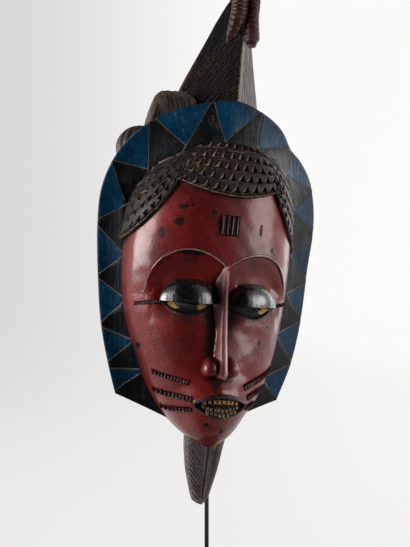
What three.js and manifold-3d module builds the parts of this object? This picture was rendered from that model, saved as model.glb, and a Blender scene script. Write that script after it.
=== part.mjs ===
// A carved and painted mask of one piece of wood, hollow behind, held up by a steel rod on a flat foot.
// Millimetres, +Z up, the mask looks along -Y. The origin is the middle of the foot's underside.
// The mask's own frame leans with it: Y = 0 is the plane where the collar meets the sides of the face,
// and Z = 0 runs between the eyes and the brows.
import * as THREE from "three";
import { mergeGeometries, mergeVertices } from "three/addons/utils/BufferGeometryUtils.js";
import Module from "manifold-3d";

const wasm = await Module();
wasm.setup();

// The stand and how the mask sits on it
const LEAN = THREE.MathUtils.degToRad(4.8); // the crest leans towards +X
const MASK_HEIGHT = 300; // the mask's own origin above the floor
const FOOT = { width: 140, depth: 140, thickness: 9, boss: 4 };
const MASK_BEFORE_FOOT = 16; // the mask's own plane Y = 0 behind the middle of the foot
const ROD_BEHIND = 4; // the rod's axis behind the mask's own plane Y = 0
const ROD = { radius: 1.9, barRadius: 2.4, barLength: 44, armZ: -100, armReach: 40, socketDepth: 7 };
const FIT_GAP = 0.3;

// The face and the hair cap, as sections across the head from the chin up:
// z height, left and right half width, d depth in front of the collar's plane
const HEAD_SECTIONS = [
  { z: -136, left: 4, right: 4, d: 41 },
  { z: -134.4, left: 10.5, right: 12, d: 45 },
  { z: -131, left: 17.5, right: 19.5, d: 49.5 },
  { z: -125, left: 25.5, right: 27.5, d: 53 },
  { z: -117.5, left: 32.2, right: 34, d: 55.5 },
  { z: -108, left: 39.8, right: 41.3, d: 57 },
  { z: -92, left: 49.4, right: 52, d: 58 },
  { z: -72, left: 57.6, right: 59.5, d: 57 },
  { z: -50, left: 66.1, right: 64.6, d: 55 },
  { z: -28, left: 71.7, right: 67.8, d: 53.5 },
  { z: 0, left: 75.1, right: 68.8, d: 55 },
  { z: 24, left: 75.4, right: 68.5, d: 57.5 },
  { z: 50, left: 72.8, right: 67.6, d: 60 },
  { z: 66, left: 67.3, right: 64.5, d: 60.5 },
  { z: 78, left: 60.3, right: 59.9, d: 59.5 },
  { z: 89, left: 50.1, right: 52.1, d: 56.5 },
  { z: 97.5, left: 38, right: 41, d: 51 },
  { z: 102.5, left: 27, right: 30, d: 43 },
  { z: 105.2, left: 16, right: 19, d: 33 },
];
const HEAD_ROUNDNESS = 2.2; // exponent of each section, 2 is an ellipse
const BACK_RIM = { y: 10, chinY: -14, chinTop: -60, chinBottom: -125 };
const WALL = { side: 10, front: 15, floor: -112, ceiling: 84 };

// The lines that the carving follows
const BROW = { midZ: 3.4, topX: 29, topZ: 15.5, endX: 58, endZ: -20, step: 2.6, hollow: 4, hollowReach: 16 };
const EYE = { x: 26.8, z: -24, halfWidth: 21.3, lidHeight: 17.5, lidBulge: 14, lidY: -41, swell: 5 };
const EYE_SLOT = { width: 20, height: 2.4, depth: 50, drop: 3, rise: 0.42 }; // it climbs towards the inside
const MOUTH = {
  x: 1.7, z: -98.1, halfWidth: 19.2, lipHeight: 7.9, lipRadius: 1.3, lipBulge: 1.2,
  pocketY: -60.5, pocketInset: 3.5,
};
const MUZZLE = { proud: 8, halfWidth: 34, halfHeight: 27 };
const LIP_GROOVE = { depth: 1.6, halfWidth: 2.6, bottomZ: -90, topZ: -74 };
const CHIN = { z: -121, proud: 2.5, halfWidth: 16, halfHeight: 8 };
// Rows of teeth above and below the middle of the mouth, each on an arc
const TEETH = [{ count: 7, z: 2, half: 11.5, sag: 1.6 }, { count: 7, z: -2.4, half: 10, sag: -1.8 }];
const TOOTH = { height: 3, depth: 6, gap: 0.5, proud: 0.8, archBack: 0.012 };
const NOSE = {
  stations: [
    { z: 9, ridgeY: -55, foot: 2 }, { z: 2, ridgeY: -59, foot: 3.5 }, { z: -18, ridgeY: -60, foot: 4.2 },
    { z: -34, ridgeY: -62.5, foot: 4.8 }, { z: -52, ridgeY: -67, foot: 5.5 }, { z: -65, ridgeY: -70.5, foot: 7 },
    { z: -74, ridgeY: -73, foot: 8.5 }, { z: -78, ridgeY: -71, foot: 8.5 }, { z: -80, ridgeY: -62, foot: 6 },
  ],
  footY: -52, wingX: 7.6, wingY: -59, wingZ: -71.5, wingRadii: [7.2, 10.5, 8],
};
const HAIRLINE = {
  left: { cornerX: 41, cornerZ: 66.5, rimX: 75 }, right: { cornerX: 34, cornerZ: 65, rimX: 69 },
  dip: 57, rimZ: 21, templeBow: 5, crownZ: 100, crownFall: 6, step: 2.6,
};
const CHIP = { mouth: 0.9, depth: 1.9, border: 1.6 };
const FRINGE = { rows: 5, perRow: 11, inset: 4, insetPerRow: 1.5, size: 0.72 };
const TEMPLE = {
  rows: 3, perRow: 6, fromRim: 6, reach: 26, stepIn: 2.5, lift: 4, rowPitch: 8.5, size: 5.4, turn: 0.9,
};
const SCARS = { count: 4, x: -0.8, z: 36, pitch: 3.7, width: 1.8, length: 14, proud: 1.1 };

// The collar's rims, from the lower left corner over the crown to the lower right corner
const COLLAR_OUTER = [
  [-71.4, -6, -104], [-79, -3, -80], [-87, 0, -49], [-92.7, 0, -10], [-97, -2, 33], [-96.5, -9, 60],
  [-90.5, -18, 81], [-80.6, -28, 97], [-65.9, -38, 110.5], [-44, -45, 123], [-21.3, -50, 129.5], [0, -54, 132.5],
  [19.2, -52, 128.5], [37, -44, 123], [49, -34, 118], [57, -26, 112], [72, -17, 104], [86, -9, 91],
  [93.5, -4, 72], [96.5, -2, 47], [94.5, 0, 10], [92, 0, -33], [84.9, -2, -72.6], [71.4, -6, -107],
];
const COLLAR_INNER = [
  [-27, -13, -122], [-52, -8, -90], [-63.5, -6, -62], [-72, -5, -27], [-75.8, -6, 9.6], [-77.6, -8, 36],
  [-75, -12, 61], [-62.1, -24, 81], [-50, -34, 90], [-37.2, -43, 97], [-20, -49, 101], [-4, -51, 102.5],
  [10, -50, 102], [21.1, -48, 101.2], [38, -40, 96], [53.9, -30, 87.9], [63, -22, 75], [70, -14, 61],
  [74, -10, 42], [75.2, -8, 22], [74.2, -8, -13], [68, -8, -48.8], [57.8, -10, -87.5], [30, -14, -121],
];
const COLLAR = { thickness: 7, buried: 10, dish: 1.2 };

// The crest, its plaits and the locks behind the collar
const CREST = {
  stations: [
    { z: 88, left: 50, right: 38 }, { z: 112, left: 49, right: 38 }, { z: 130, left: 46, right: 37 },
    { z: 145, left: 42, right: 34.5 }, { z: 155, left: 38.5, right: 32.5 }, { z: 175, left: 30, right: 27 },
    { z: 194, left: 21.5, right: 20.5 }, { z: 210, left: 14.5, right: 14 }, { z: 220, left: 9, right: 9 },
    { z: 226, left: 4.5, right: 4.5 },
  ],
  ridgeY: -51, tipForward: 6, ridgeHalf: 1.2, backY: 6, tipForwardBack: 42, edge: 3, backCrown: 5,
};
const PLAIT = { radius: 6.4, between: 5.2, ribs: 11, ribDepth: 0.9, sides: 8 };
const PLAIT_LEFT = [
  [-6, -36, 222], [-8, -50, 230], [-8.4, -60, 220], [-8.4, -62, 204], [-8.8, -61, 192], [-14.5, -55, 175],
];
const PLAIT_RIGHT = [
  [2, -36, 222], [2, -50, 230], [2.2, -60, 220], [2.2, -61, 204], [2.4, -60, 190], [5, -58, 174],
];
const PLAIT_BETWEEN = [[-3.1, -36, 222], [-3.1, -49, 229], [-3.1, -58, 220], [-3.1, -59, 204], [-3.1, -56, 184]];
const LOCKS = [{ centre: [-66, -2, 98], radii: [21, 14, 20] }, { centre: [54, 0, 92], radii: [22, 16, 22] }];
const TALL_LOCK = {
  middle: [-46, 118],
  outline: [[-69, 92], [-66, 119], [-62, 137.5], [-57, 143], [-40, 145], [-26, 141], [-24, 92]],
  slices: [{ y: -26, swell: 0.82 }, { y: -20, swell: 0.97 }, { y: 4, swell: 1 }, { y: 12, swell: 0.86 }],
};
// The beard's sections from its tip up: half widths, and Y of its ridge and of its side edges
const BEARD = {
  stations: [
    { z: -184.5, left: 3, right: 3, ridgeY: -33, sideY: -25 },
    { z: -183.3, left: 5.2, right: 6, ridgeY: -34, sideY: -24.5 },
    { z: -179.8, left: 6.5, right: 8.8, ridgeY: -35, sideY: -24.5 },
    { z: -169.9, left: 9.6, right: 11, ridgeY: -37.5, sideY: -25.5 },
    { z: -160, left: 12.4, right: 13, ridgeY: -40, sideY: -27 },
    { z: -150, left: 14.1, right: 14.6, ridgeY: -42.5, sideY: -28 },
    { z: -140, left: 15.5, right: 15.6, ridgeY: -44.5, sideY: -29.5 },
    { z: -130, left: 15.8, right: 17.2, ridgeY: -46, sideY: -31 },
    { z: -122, left: 15.5, right: 17.5, ridgeY: -47, sideY: -32 },
  ],
  ridgeX: 1.6, bevel: 4.5, backY: -18,
};

const PAINT = {
  mask: { color: 0x7e2a26, roughness: 0.38, metalness: 0 },
  steel: { color: 0x17181a, roughness: 0.5, metalness: 0.85 },
};

function smoothstep(from, to, value) {
  const t = Math.min(1, Math.max(0, (value - from) / (to - from)));
  return t * t * (3 - 2 * t);
}

// A smooth curve through the stations' values at height z
function stationValue(stations, key, z) {
  const last = stations.length - 1;
  let i = 0;
  while (i < last - 1 && z > stations[i + 1].z) i += 1;
  const slope = (j) => {
    const a = stations[Math.max(0, j - 1)];
    const b = stations[Math.min(last, j + 1)];
    return (b[key] - a[key]) / (b.z - a.z);
  };
  const span = stations[i + 1].z - stations[i].z;
  const t = Math.min(1, Math.max(0, (z - stations[i].z) / span));
  const h1 = (1 + 2 * t) * (1 - t) * (1 - t);
  const h2 = t * (1 - t) * (1 - t) * span;
  const h3 = t * t * (3 - 2 * t);
  const h4 = t * t * (t - 1) * span;
  return h1 * stations[i][key] + h2 * slope(i) + h3 * stations[i + 1][key] + h4 * slope(i + 1);
}

function halfWidth(side, z) {
  return stationValue(HEAD_SECTIONS, side < 0 ? "left" : "right", z);
}

// The plain head without its carving: q runs from -1 at the left rim to 1 at the right rim
function headPoint(q, z, inset = { side: 0, front: 0 }) {
  const width = Math.max(2, halfWidth(q, z) - inset.side);
  const depth = Math.max(2, stationValue(HEAD_SECTIONS, "d", z) - inset.front);
  const fall = Math.pow(Math.max(0, 1 - Math.pow(Math.abs(q), HEAD_ROUNDNESS)), 1 / HEAD_ROUNDNESS);
  return new THREE.Vector3(width * q, -depth * fall, z);
}

function headNormal(q, z) {
  const step = 0.01;
  const a = headPoint(Math.max(-0.995, q - step), z);
  const b = headPoint(Math.min(0.995, q + step), z);
  const below = headPoint(q, z - 1);
  const above = headPoint(q, z + 1);
  return b.sub(a).cross(above.sub(below)).normalize();
}

function backRimY(z) {
  return BACK_RIM.y + (BACK_RIM.chinY - BACK_RIM.y) * smoothstep(BACK_RIM.chinTop, BACK_RIM.chinBottom, z);
}

// Height of the brow's edge, an arch over each eye
function browHeight(x) {
  const u = Math.abs(x);
  if (u < BROW.topX) {
    const t = u / BROW.topX;
    return BROW.midZ + (BROW.topZ - BROW.midZ) * Math.sin(0.5 * Math.PI * Math.pow(t, 0.85));
  }
  const t = Math.min(1, (u - BROW.topX) / (BROW.endX - BROW.topX));
  return BROW.endZ + (BROW.topZ - BROW.endZ) * Math.sqrt(Math.max(0, 1 - t * t));
}

function hairSide(x) {
  return x < 0 ? HAIRLINE.left : HAIRLINE.right;
}

// Height of the hairline: a fringe that sags over the forehead between two corners, then the temples
function hairlineHeight(x) {
  const { cornerX, cornerZ, rimX } = hairSide(x);
  const u = Math.abs(x);
  if (u < cornerX) {
    const t = u / cornerX;
    return HAIRLINE.dip + (cornerZ - HAIRLINE.dip) * t * t;
  }
  const t = Math.min(1, (u - cornerX) / (rimX - cornerX));
  const bow = HAIRLINE.templeBow * Math.sin(Math.PI * t);
  return cornerZ + (HAIRLINE.rimZ - cornerZ) * t - bow;
}

// The sunken ground under the brow's edge, and the swelling under each lid
function eyeRelief(x, z) {
  const u = Math.abs(x);
  const under = browHeight(x) - z;
  const fade = smoothstep(-50, -27, z) * (1 - 0.8 * smoothstep(46, 60, u));
  const sunk = BROW.step * smoothstep(0, 1.5, under) + BROW.hollow * smoothstep(2, BROW.hollowReach, under);
  const dx = (u - EYE.x) / EYE.halfWidth;
  const underLid = smoothstep(EYE.z - 24, EYE.z - 9, z) * smoothstep(EYE.z, EYE.z - 6, z);
  const below = EYE.swell * underLid * Math.max(0, 1 - 0.7 * dx * dx);
  return below - sunk * fade;
}

function mouthRelief(x, z) {
  const far = Math.hypot((x - MOUTH.x) / MUZZLE.halfWidth, (z - MOUTH.z) / MUZZLE.halfHeight);
  const muzzle = MUZZLE.proud * (1 - smoothstep(0.1, 1, far));
  const { depth, bottomZ, topZ } = LIP_GROOVE;
  const along = smoothstep(bottomZ, bottomZ + 4, z) * smoothstep(topZ, topZ - 4, z);
  const groove = depth * Math.exp(-((x / LIP_GROOVE.halfWidth) ** 2)) * along;
  const chin = CHIN.proud * Math.exp(-((x / CHIN.halfWidth) ** 2) - ((z - CHIN.z) / CHIN.halfHeight) ** 2);
  return muzzle - groove + chin;
}

function carvedPoint(q, z, liftHair) {
  const base = headPoint(q, z);
  const rimFade = 1 - smoothstep(0.86, 0.99, Math.abs(q));
  const carving = eyeRelief(base.x, z) + mouthRelief(base.x, z);
  const face = carving * rimFade * (1 - liftHair);
  return base.addScaledVector(headNormal(q, z), face + HAIRLINE.step * liftHair);
}

function evenSteps(from, to, count) {
  return Array.from({ length: count }, (unused, i) => from + ((to - from) * i) / count);
}

// Each row of the carving is a height for every column: some rows follow the brow and the hairline
function carvedRows(columns) {
  const keyRows = [
    () => HEAD_SECTIONS[0].z,
    () => -112,
    () => MOUTH.z + 10,
    () => -74,
    () => -50,
    () => EYE.z - 0.02,
    (x) => browHeight(x) - 0.3,
    (x) => browHeight(x) + 0.3,
    (x) => hairlineHeight(x) - 0.5,
    (x) => hairlineHeight(x) + 0.5,
    () => HEAD_SECTIONS[HEAD_SECTIONS.length - 1].z,
  ];
  const rowsBetween = [6, 5, 4, 4, 5, 6, 1, 5, 1, 5];
  const heightAt = (key, q) => {
    let z = 20;
    for (let i = 0; i < 30; i += 1) z = 0.5 * z + 0.5 * key(headPoint(q, z).x);
    return z;
  };
  const rows = [];
  rowsBetween.forEach((count, band) => {
    evenSteps(0, 1, count).forEach((t) => {
      rows.push(columns.map((q) => {
        const low = heightAt(keyRows[band], q);
        const high = heightAt(keyRows[band + 1], q);
        const eased = band === rowsBetween.length - 1 ? Math.sin(0.5 * Math.PI * t) : t;
        return { q, z: low + (high - low) * eased, hair: band >= 9 ? 1 : 0 };
      }));
    });
  });
  rows.push(columns.map((q) => ({ q, z: HEAD_SECTIONS[HEAD_SECTIONS.length - 1].z, hair: 1 })));
  return rows;
}

function meshFromRings(rings) {
  const size = rings[0].length;
  const points = rings.flat();
  const faces = [];
  for (let r = 0; r < rings.length - 1; r += 1) {
    for (let i = 0; i < size; i += 1) {
      const a = r * size + i;
      const b = r * size + ((i + 1) % size);
      faces.push([a, b, b + size], [a, b + size, a + size]);
    }
  }
  const cap = (ring, start, flip) => {
    const middle = ring.reduce((sum, p) => sum.add(p), new THREE.Vector3()).divideScalar(size);
    points.push(middle);
    for (let i = 0; i < size; i += 1) {
      const edge = [start + i, start + ((i + 1) % size)];
      faces.push(flip ? [edge[1], edge[0], points.length - 1] : [edge[0], edge[1], points.length - 1]);
    }
  };
  cap(rings[0], 0, true);
  cap(rings[rings.length - 1], (rings.length - 1) * size, false);
  return { points, faces };
}

function solidFromMesh({ points, faces }) {
  const geometry = new THREE.BufferGeometry();
  geometry.setAttribute("position", new THREE.Float32BufferAttribute(points.flatMap((p) => p.toArray()), 3));
  geometry.setIndex(faces.flat());
  return solidFromGeometry(geometry);
}

function solidFromGeometry(geometry) {
  const bare = geometry.clone();
  bare.deleteAttribute("normal");
  bare.deleteAttribute("uv");
  const merged = mergeVertices(bare, 1e-4);
  const index = Array.from(merged.index.array);
  const kept = [];
  for (let i = 0; i < index.length; i += 3) {
    const [a, b, c] = index.slice(i, i + 3);
    if (a !== b && b !== c && a !== c) kept.push(a, b, c);
  }
  const closed = (triVerts) => new wasm.Manifold(new wasm.Mesh({
    numProp: 3,
    vertProperties: Float32Array.from(merged.attributes.position.array),
    triVerts: Uint32Array.from(triVerts),
  }));
  const solid = closed(kept);
  return solid.volume() > 0 ? solid : closed(kept.reverse());
}

function geometryFromSolid(solid) {
  const mesh = solid.getMesh();
  const geometry = new THREE.BufferGeometry();
  geometry.setAttribute("position", new THREE.BufferAttribute(mesh.vertProperties, 3));
  geometry.setIndex(new THREE.BufferAttribute(mesh.triVerts, 1));
  geometry.computeVertexNormals();
  return geometry;
}

// Several open surfaces that close each other
function solidShell(surfaces) {
  const bare = surfaces.map((surface) => {
    const copy = surface.toNonIndexed();
    copy.deleteAttribute("normal");
    copy.deleteAttribute("uv");
    return copy;
  });
  return mergeVertices(mergeGeometries(bare), 1e-4);
}

function placedSolid(geometry, matrix) {
  return solidFromGeometry(geometry.clone().applyMatrix4(matrix));
}

// Columns lie closest together at the nose
function headColumns(perSide, gather) {
  const columns = [];
  for (let i = -perSide; i <= perSide; i += 1) {
    const angle = 0.5 * Math.PI * Math.pow(Math.abs(i) / perSide, gather);
    columns.push(Math.sign(i) * Math.pow(Math.sin(angle), 2 / HEAD_ROUNDNESS));
  }
  return columns;
}

function head() {
  const rings = carvedRows(headColumns(14, 1.15)).map((row) => {
    const front = row.map(({ q, z, hair }) => carvedPoint(q, z, hair));
    const right = front[front.length - 1];
    const left = front[0];
    const back = [right, left].map((p) => new THREE.Vector3(p.x * 0.97, backRimY(p.z), p.z));
    return [...front, ...back];
  });
  return solidFromMesh(meshFromRings(rings));
}

// A place on the carved surface at x, z, with the direction out of the wood there
function onSurface(x, z, liftHair) {
  const q = Math.max(-0.97, Math.min(0.97, x / halfWidth(x, z)));
  return { point: carvedPoint(q, z, liftHair), out: headNormal(q, z) };
}

// A three-sided chip cut into the hair: its mouth is a triangle and its deepest point lies under one corner
function chip(x, z, size, turn) {
  const { point, out } = onSurface(x, z, 1);
  const across = new THREE.Vector3(0, 0, 1).cross(out).normalize().negate();
  const up = out.clone().cross(across).negate();
  const corner = (u, v, depth) => {
    const p = point.clone().addScaledVector(across, size * (u * Math.cos(turn) - v * Math.sin(turn)));
    p.addScaledVector(up, size * (u * Math.sin(turn) + v * Math.cos(turn)));
    return p.addScaledVector(out, depth);
  };
  const mouth = [[-0.6, -0.5], [0.55, -0.5], [0.1, 0.75]].map(([u, v]) => corner(u, v, CHIP.mouth));
  const points = [...mouth, corner(0.2, -0.3, -CHIP.depth)];
  return solidFromMesh({ points, faces: [[0, 2, 1], [0, 1, 3], [1, 2, 3], [2, 0, 3]] });
}

// Height of the hair's upper edge, where it meets the collar
function crownHeight(x) {
  const t = x / hairSide(x).cornerX;
  return HAIRLINE.crownZ - HAIRLINE.crownFall * t * t;
}

function hairChips() {
  const chips = [];
  for (let row = 0; row < FRINGE.rows; row += 1) {
    const inset = FRINGE.inset + FRINGE.insetPerRow * row;
    const from = inset - HAIRLINE.left.cornerX;
    const to = HAIRLINE.right.cornerX - inset;
    for (let i = 0; i < FRINGE.perRow; i += 1) {
      const x = from + ((to - from) * (i + 0.5 * (row % 2))) / (FRINGE.perRow - 0.5);
      const low = hairlineHeight(x) + CHIP.border;
      const pitch = (crownHeight(x) - low) / FRINGE.rows;
      chips.push(chip(x, low + pitch * (row + 0.42), FRINGE.size * pitch, 0));
    }
  }
  for (const side of [-1, 1]) {
    for (let row = 0; row < TEMPLE.rows; row += 1) {
      for (let i = 0; i < TEMPLE.perRow - row; i += 1) {
        const outer = hairSide(side).rimX - TEMPLE.fromRim - row * TEMPLE.stepIn;
        const x = side * (outer - (i * TEMPLE.reach) / (TEMPLE.perRow - 1));
        const z = hairlineHeight(x) + CHIP.border + TEMPLE.lift + row * TEMPLE.rowPitch;
        chips.push(chip(x, z, TEMPLE.size, side * TEMPLE.turn));
      }
    }
  }
  return chips;
}

// Four upright scars in the middle of the forehead
function foreheadScars() {
  const bars = [];
  for (let i = 0; i < SCARS.count; i += 1) {
    const x = SCARS.x + (i - (SCARS.count - 1) / 2) * SCARS.pitch;
    const { point } = onSurface(x, SCARS.z, 0);
    const bar = new THREE.BoxGeometry(SCARS.width, SCARS.proud + 3, SCARS.length);
    const y = point.y + 1.5 - SCARS.proud / 2;
    bars.push(placedSolid(bar, new THREE.Matrix4().setPosition(point.x, y, point.z)));
  }
  return bars;
}

// A half egg over each eye, flat below where the slot runs
function lids() {
  return [-1, 1].map((side) => {
    const around = 16;
    const dome = new THREE.SphereGeometry(1, around, 6, 0, 2 * Math.PI, 0, Math.PI / 2);
    const floor = new THREE.CircleGeometry(1, around).rotateX(Math.PI / 2);
    const whole = solidShell([dome, floor]).rotateX(Math.PI / 2);
    const { out } = onSurface(side * EYE.x, EYE.z + 8, 0);
    const turn = new THREE.Matrix4().makeRotationZ(Math.atan2(out.x, -out.y));
    const size = new THREE.Matrix4().makeScale(EYE.halfWidth, EYE.lidBulge, EYE.lidHeight);
    const place = new THREE.Matrix4().setPosition(side * EYE.x, EYE.lidY, EYE.z);
    return placedSolid(whole, place.multiply(turn).multiply(size));
  });
}

// The nose: a sharp ridge with flat flanks, and a round wing on each side of its tip
function noseParts() {
  const rings = NOSE.stations.map(({ z, ridgeY, foot }) => [
    new THREE.Vector3(0, ridgeY, z),
    new THREE.Vector3(foot * 0.45, ridgeY + (NOSE.footY - ridgeY) * 0.45, z),
    new THREE.Vector3(foot, NOSE.footY, z),
    new THREE.Vector3(foot, NOSE.footY + 8, z),
    new THREE.Vector3(-foot, NOSE.footY + 8, z),
    new THREE.Vector3(-foot, NOSE.footY, z),
    new THREE.Vector3(-foot * 0.45, ridgeY + (NOSE.footY - ridgeY) * 0.45, z),
  ]);
  const wings = [-1, 1].map((side) => lock([side * NOSE.wingX, NOSE.wingY, NOSE.wingZ], NOSE.wingRadii));
  return [solidFromMesh(meshFromRings(rings)), ...wings];
}

// Two lips that meet in the corners, over the almond of the open mouth
function lips() {
  return [1, -1].map((up) => {
    const path = evenSteps(-1, 1, 8).concat(1).map((t) => {
      const x = MOUTH.x + MOUTH.halfWidth * t;
      const z = MOUTH.z + up * (MOUTH.lipHeight - 1.5) * (1 - t * t);
      const { point } = onSurface(x, z, 0);
      return [x, point.y + 1.2, z];
    });
    const steps = 14;
    return strand(path, steps, (i) => MOUTH.lipRadius + MOUTH.lipBulge * Math.sin((Math.PI * i) / steps));
  });
}

function mouthPocket() {
  const almond = new THREE.Shape();
  const half = MOUTH.halfWidth - MOUTH.pocketInset;
  const bow = 2 * (MOUTH.lipHeight - 3);
  almond.moveTo(-half, 0);
  almond.quadraticCurveTo(0, bow, half, 0);
  almond.quadraticCurveTo(0, -bow, -half, 0);
  const cut = new THREE.ExtrudeGeometry(almond, { depth: 20, bevelEnabled: false, curveSegments: 8 });
  cut.rotateX(Math.PI / 2);
  return placedSolid(cut, new THREE.Matrix4().setPosition(MOUTH.x, MOUTH.pocketY, MOUTH.z));
}

// Two rows of teeth on the pocket's ground
function teeth() {
  return TEETH.flatMap(({ count, z, half, sag }) => Array.from({ length: count }, (unused, i) => {
    const x = -half + (2 * half * (i + 0.5)) / count;
    const y = MOUTH.pocketY + TOOTH.proud + TOOTH.archBack * x * x;
    const height = MOUTH.z + z + sag * (1 - (x / half) ** 2);
    const tooth = new THREE.BoxGeometry((2 * half) / count - TOOTH.gap, TOOTH.depth, TOOTH.height);
    return placedSolid(tooth, new THREE.Matrix4().setPosition(MOUTH.x + x, y, height));
  }));
}

// The narrow slot under each lid goes right through the wood
function eyeSlots() {
  return [-1, 1].map((side) => {
    const slot = new THREE.BoxGeometry(EYE_SLOT.width, EYE_SLOT.depth, EYE_SLOT.height);
    const { point } = onSurface(side * EYE.x, EYE.z - EYE_SLOT.drop, 0);
    const turned = new THREE.Matrix4().makeRotationX(EYE_SLOT.rise);
    return placedSolid(slot, turned.setPosition(side * EYE.x, point.y, EYE.z - EYE_SLOT.drop));
  });
}

// The hollow behind the face, open at the back
function hollow() {
  const inset = { side: WALL.side, front: WALL.front };
  const rings = evenSteps(0, 1, 12).concat(1).map((t) => {
    const z = WALL.floor + (WALL.ceiling - WALL.floor) * t;
    const front = headColumns(7, 1).map((q) => headPoint(q, z, inset));
    const right = front[front.length - 1].x;
    return [...front, new THREE.Vector3(right, 40, z), new THREE.Vector3(front[0].x, 40, z)];
  });
  return solidFromMesh(meshFromRings(rings));
}

function smoothCurve(points) {
  return new THREE.CatmullRomCurve3(points.map((p) => new THREE.Vector3(...p)), false, "centripetal");
}

function collar() {
  const outer = smoothCurve(COLLAR_OUTER);
  const inner = smoothCurve(COLLAR_INNER);
  const stations = 2 * (COLLAR_OUTER.length - 1);
  const rings = [];
  for (let i = 0; i <= stations; i += 1) {
    const rim = outer.getPoint(i / stations);
    const root = inner.getPoint(i / stations);
    const across = root.clone().sub(rim).normalize();
    const buried = root.clone().addScaledVector(across, COLLAR.buried);
    const back = new THREE.Vector3(0, COLLAR.thickness, 0);
    const middle = rim.clone().lerp(root, 0.5).add(new THREE.Vector3(0, COLLAR.dish, 0));
    rings.push([rim, rim.clone().add(back), buried.clone().add(back), buried, middle]);
  }
  return solidFromMesh(meshFromRings(rings));
}

// The crest stands on the crown: a sharp vertical ridge in front, two broad faces running back
function crest() {
  const foot = CREST.stations[0].z;
  const tip = CREST.stations[CREST.stations.length - 1].z;
  const rings = CREST.stations.map(({ z, left, right }) => {
    const t = (z - foot) / (tip - foot);
    const back = CREST.backY - CREST.tipForwardBack * Math.pow(t, 4);
    const ridge = CREST.ridgeY - CREST.tipForward * smoothstep(0.55, 1, t);
    const flank = ridge + (back - ridge) * 0.42;
    return [
      new THREE.Vector3(-CREST.ridgeHalf, ridge, z),
      new THREE.Vector3(CREST.ridgeHalf, ridge, z),
      new THREE.Vector3(right * 0.55, flank, z),
      new THREE.Vector3(right, back - CREST.edge, z),
      new THREE.Vector3(right * 0.6, back + CREST.backCrown, z),
      new THREE.Vector3(-left * 0.6, back + CREST.backCrown, z),
      new THREE.Vector3(-left, back - CREST.edge, z),
      new THREE.Vector3(-left * 0.55, flank, z),
    ];
  });
  return solidFromMesh(meshFromRings(rings));
}

// A round strand along a path, its radius given along the way
function strand(path, steps, radiusAt) {
  const curve = smoothCurve(path);
  const rings = [];
  for (let i = 0; i <= steps; i += 1) {
    const centre = curve.getPoint(i / steps);
    const along = curve.getTangent(i / steps);
    const side = new THREE.Vector3(1, 0, 0).addScaledVector(along, -along.x).normalize();
    const front = side.clone().cross(along);
    const ring = [];
    for (let j = 0; j < PLAIT.sides; j += 1) {
      const angle = (2 * Math.PI * j) / PLAIT.sides;
      const p = centre.clone().addScaledVector(side, radiusAt(i) * Math.cos(angle));
      ring.push(p.addScaledVector(front, radiusAt(i) * Math.sin(angle)));
    }
    rings.push(ring);
  }
  return solidFromMesh(meshFromRings(rings));
}

// The radius dips at the groove between two ribs
function ribbed(taper) {
  const steps = PLAIT.ribs * 2;
  return [steps, (i) => (PLAIT.radius - (i % 2 === 0 ? PLAIT.ribDepth : 0)) * taper(i / steps)];
}

function plaits() {
  const pointed = (t) => 1 - 0.85 * smoothstep(0.72, 1, t);
  const blunt = (t) => (1 + 0.12 * smoothstep(0.7, 0.9, t)) * (1 - 0.5 * smoothstep(0.93, 1, t));
  const left = strand(PLAIT_LEFT, ...ribbed(pointed));
  const right = strand(PLAIT_RIGHT, ...ribbed(blunt));
  const between = strand(PLAIT_BETWEEN, 10, () => PLAIT.between);
  return left.add(right).add(between);
}

// A rounded lock behind the collar, an ellipsoid set into the crown
function lock(centre, radii) {
  const matrix = new THREE.Matrix4().makeScale(...radii).setPosition(...centre);
  return placedSolid(new THREE.SphereGeometry(1, 12, 7), matrix);
}

// The tall lock beside the crest: a block with a sloping shoulder and rounded ends
function tallLock() {
  const [middleX, middleZ] = TALL_LOCK.middle;
  const rings = TALL_LOCK.slices.map(({ y, swell }) => TALL_LOCK.outline.map(([x, z]) => {
    return new THREE.Vector3(middleX + (x - middleX) * swell, y, middleZ + (z - middleZ) * swell);
  }));
  return solidFromMesh(meshFromRings(rings));
}

function locks() {
  return [tallLock(), ...LOCKS.map(({ centre, radii }) => lock(centre, radii))];
}

function beard() {
  const rings = BEARD.stations.map(({ z, left, right, ridgeY, sideY }) => {
    const middle = BEARD.ridgeX;
    return [
      new THREE.Vector3(middle, ridgeY, z),
      new THREE.Vector3(middle + (right - middle) * 0.62, ridgeY + BEARD.bevel, z),
      new THREE.Vector3(right, sideY, z),
      new THREE.Vector3(right * 0.7, BEARD.backY, z),
      new THREE.Vector3(-left * 0.7, BEARD.backY, z),
      new THREE.Vector3(-left, sideY, z),
      new THREE.Vector3(middle - (left + middle) * 0.62, ridgeY + BEARD.bevel, z),
    ];
  });
  return solidFromMesh(meshFromRings(rings));
}

function maskSolid() {
  let solid = head();
  const raised = [collar(), crest(), plaits(), beard(), ...locks(), ...lids(), ...noseParts(), ...lips()];
  [...raised, ...foreheadScars()].forEach((piece) => {
    solid = solid.add(piece);
  });
  solid = solid.subtract(hollow()).subtract(mouthPocket());
  teeth().forEach((tooth) => {
    solid = solid.add(tooth);
  });
  [...hairChips(), ...eyeSlots()].forEach((cut) => {
    solid = solid.subtract(cut);
  });
  return solid;
}

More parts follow.
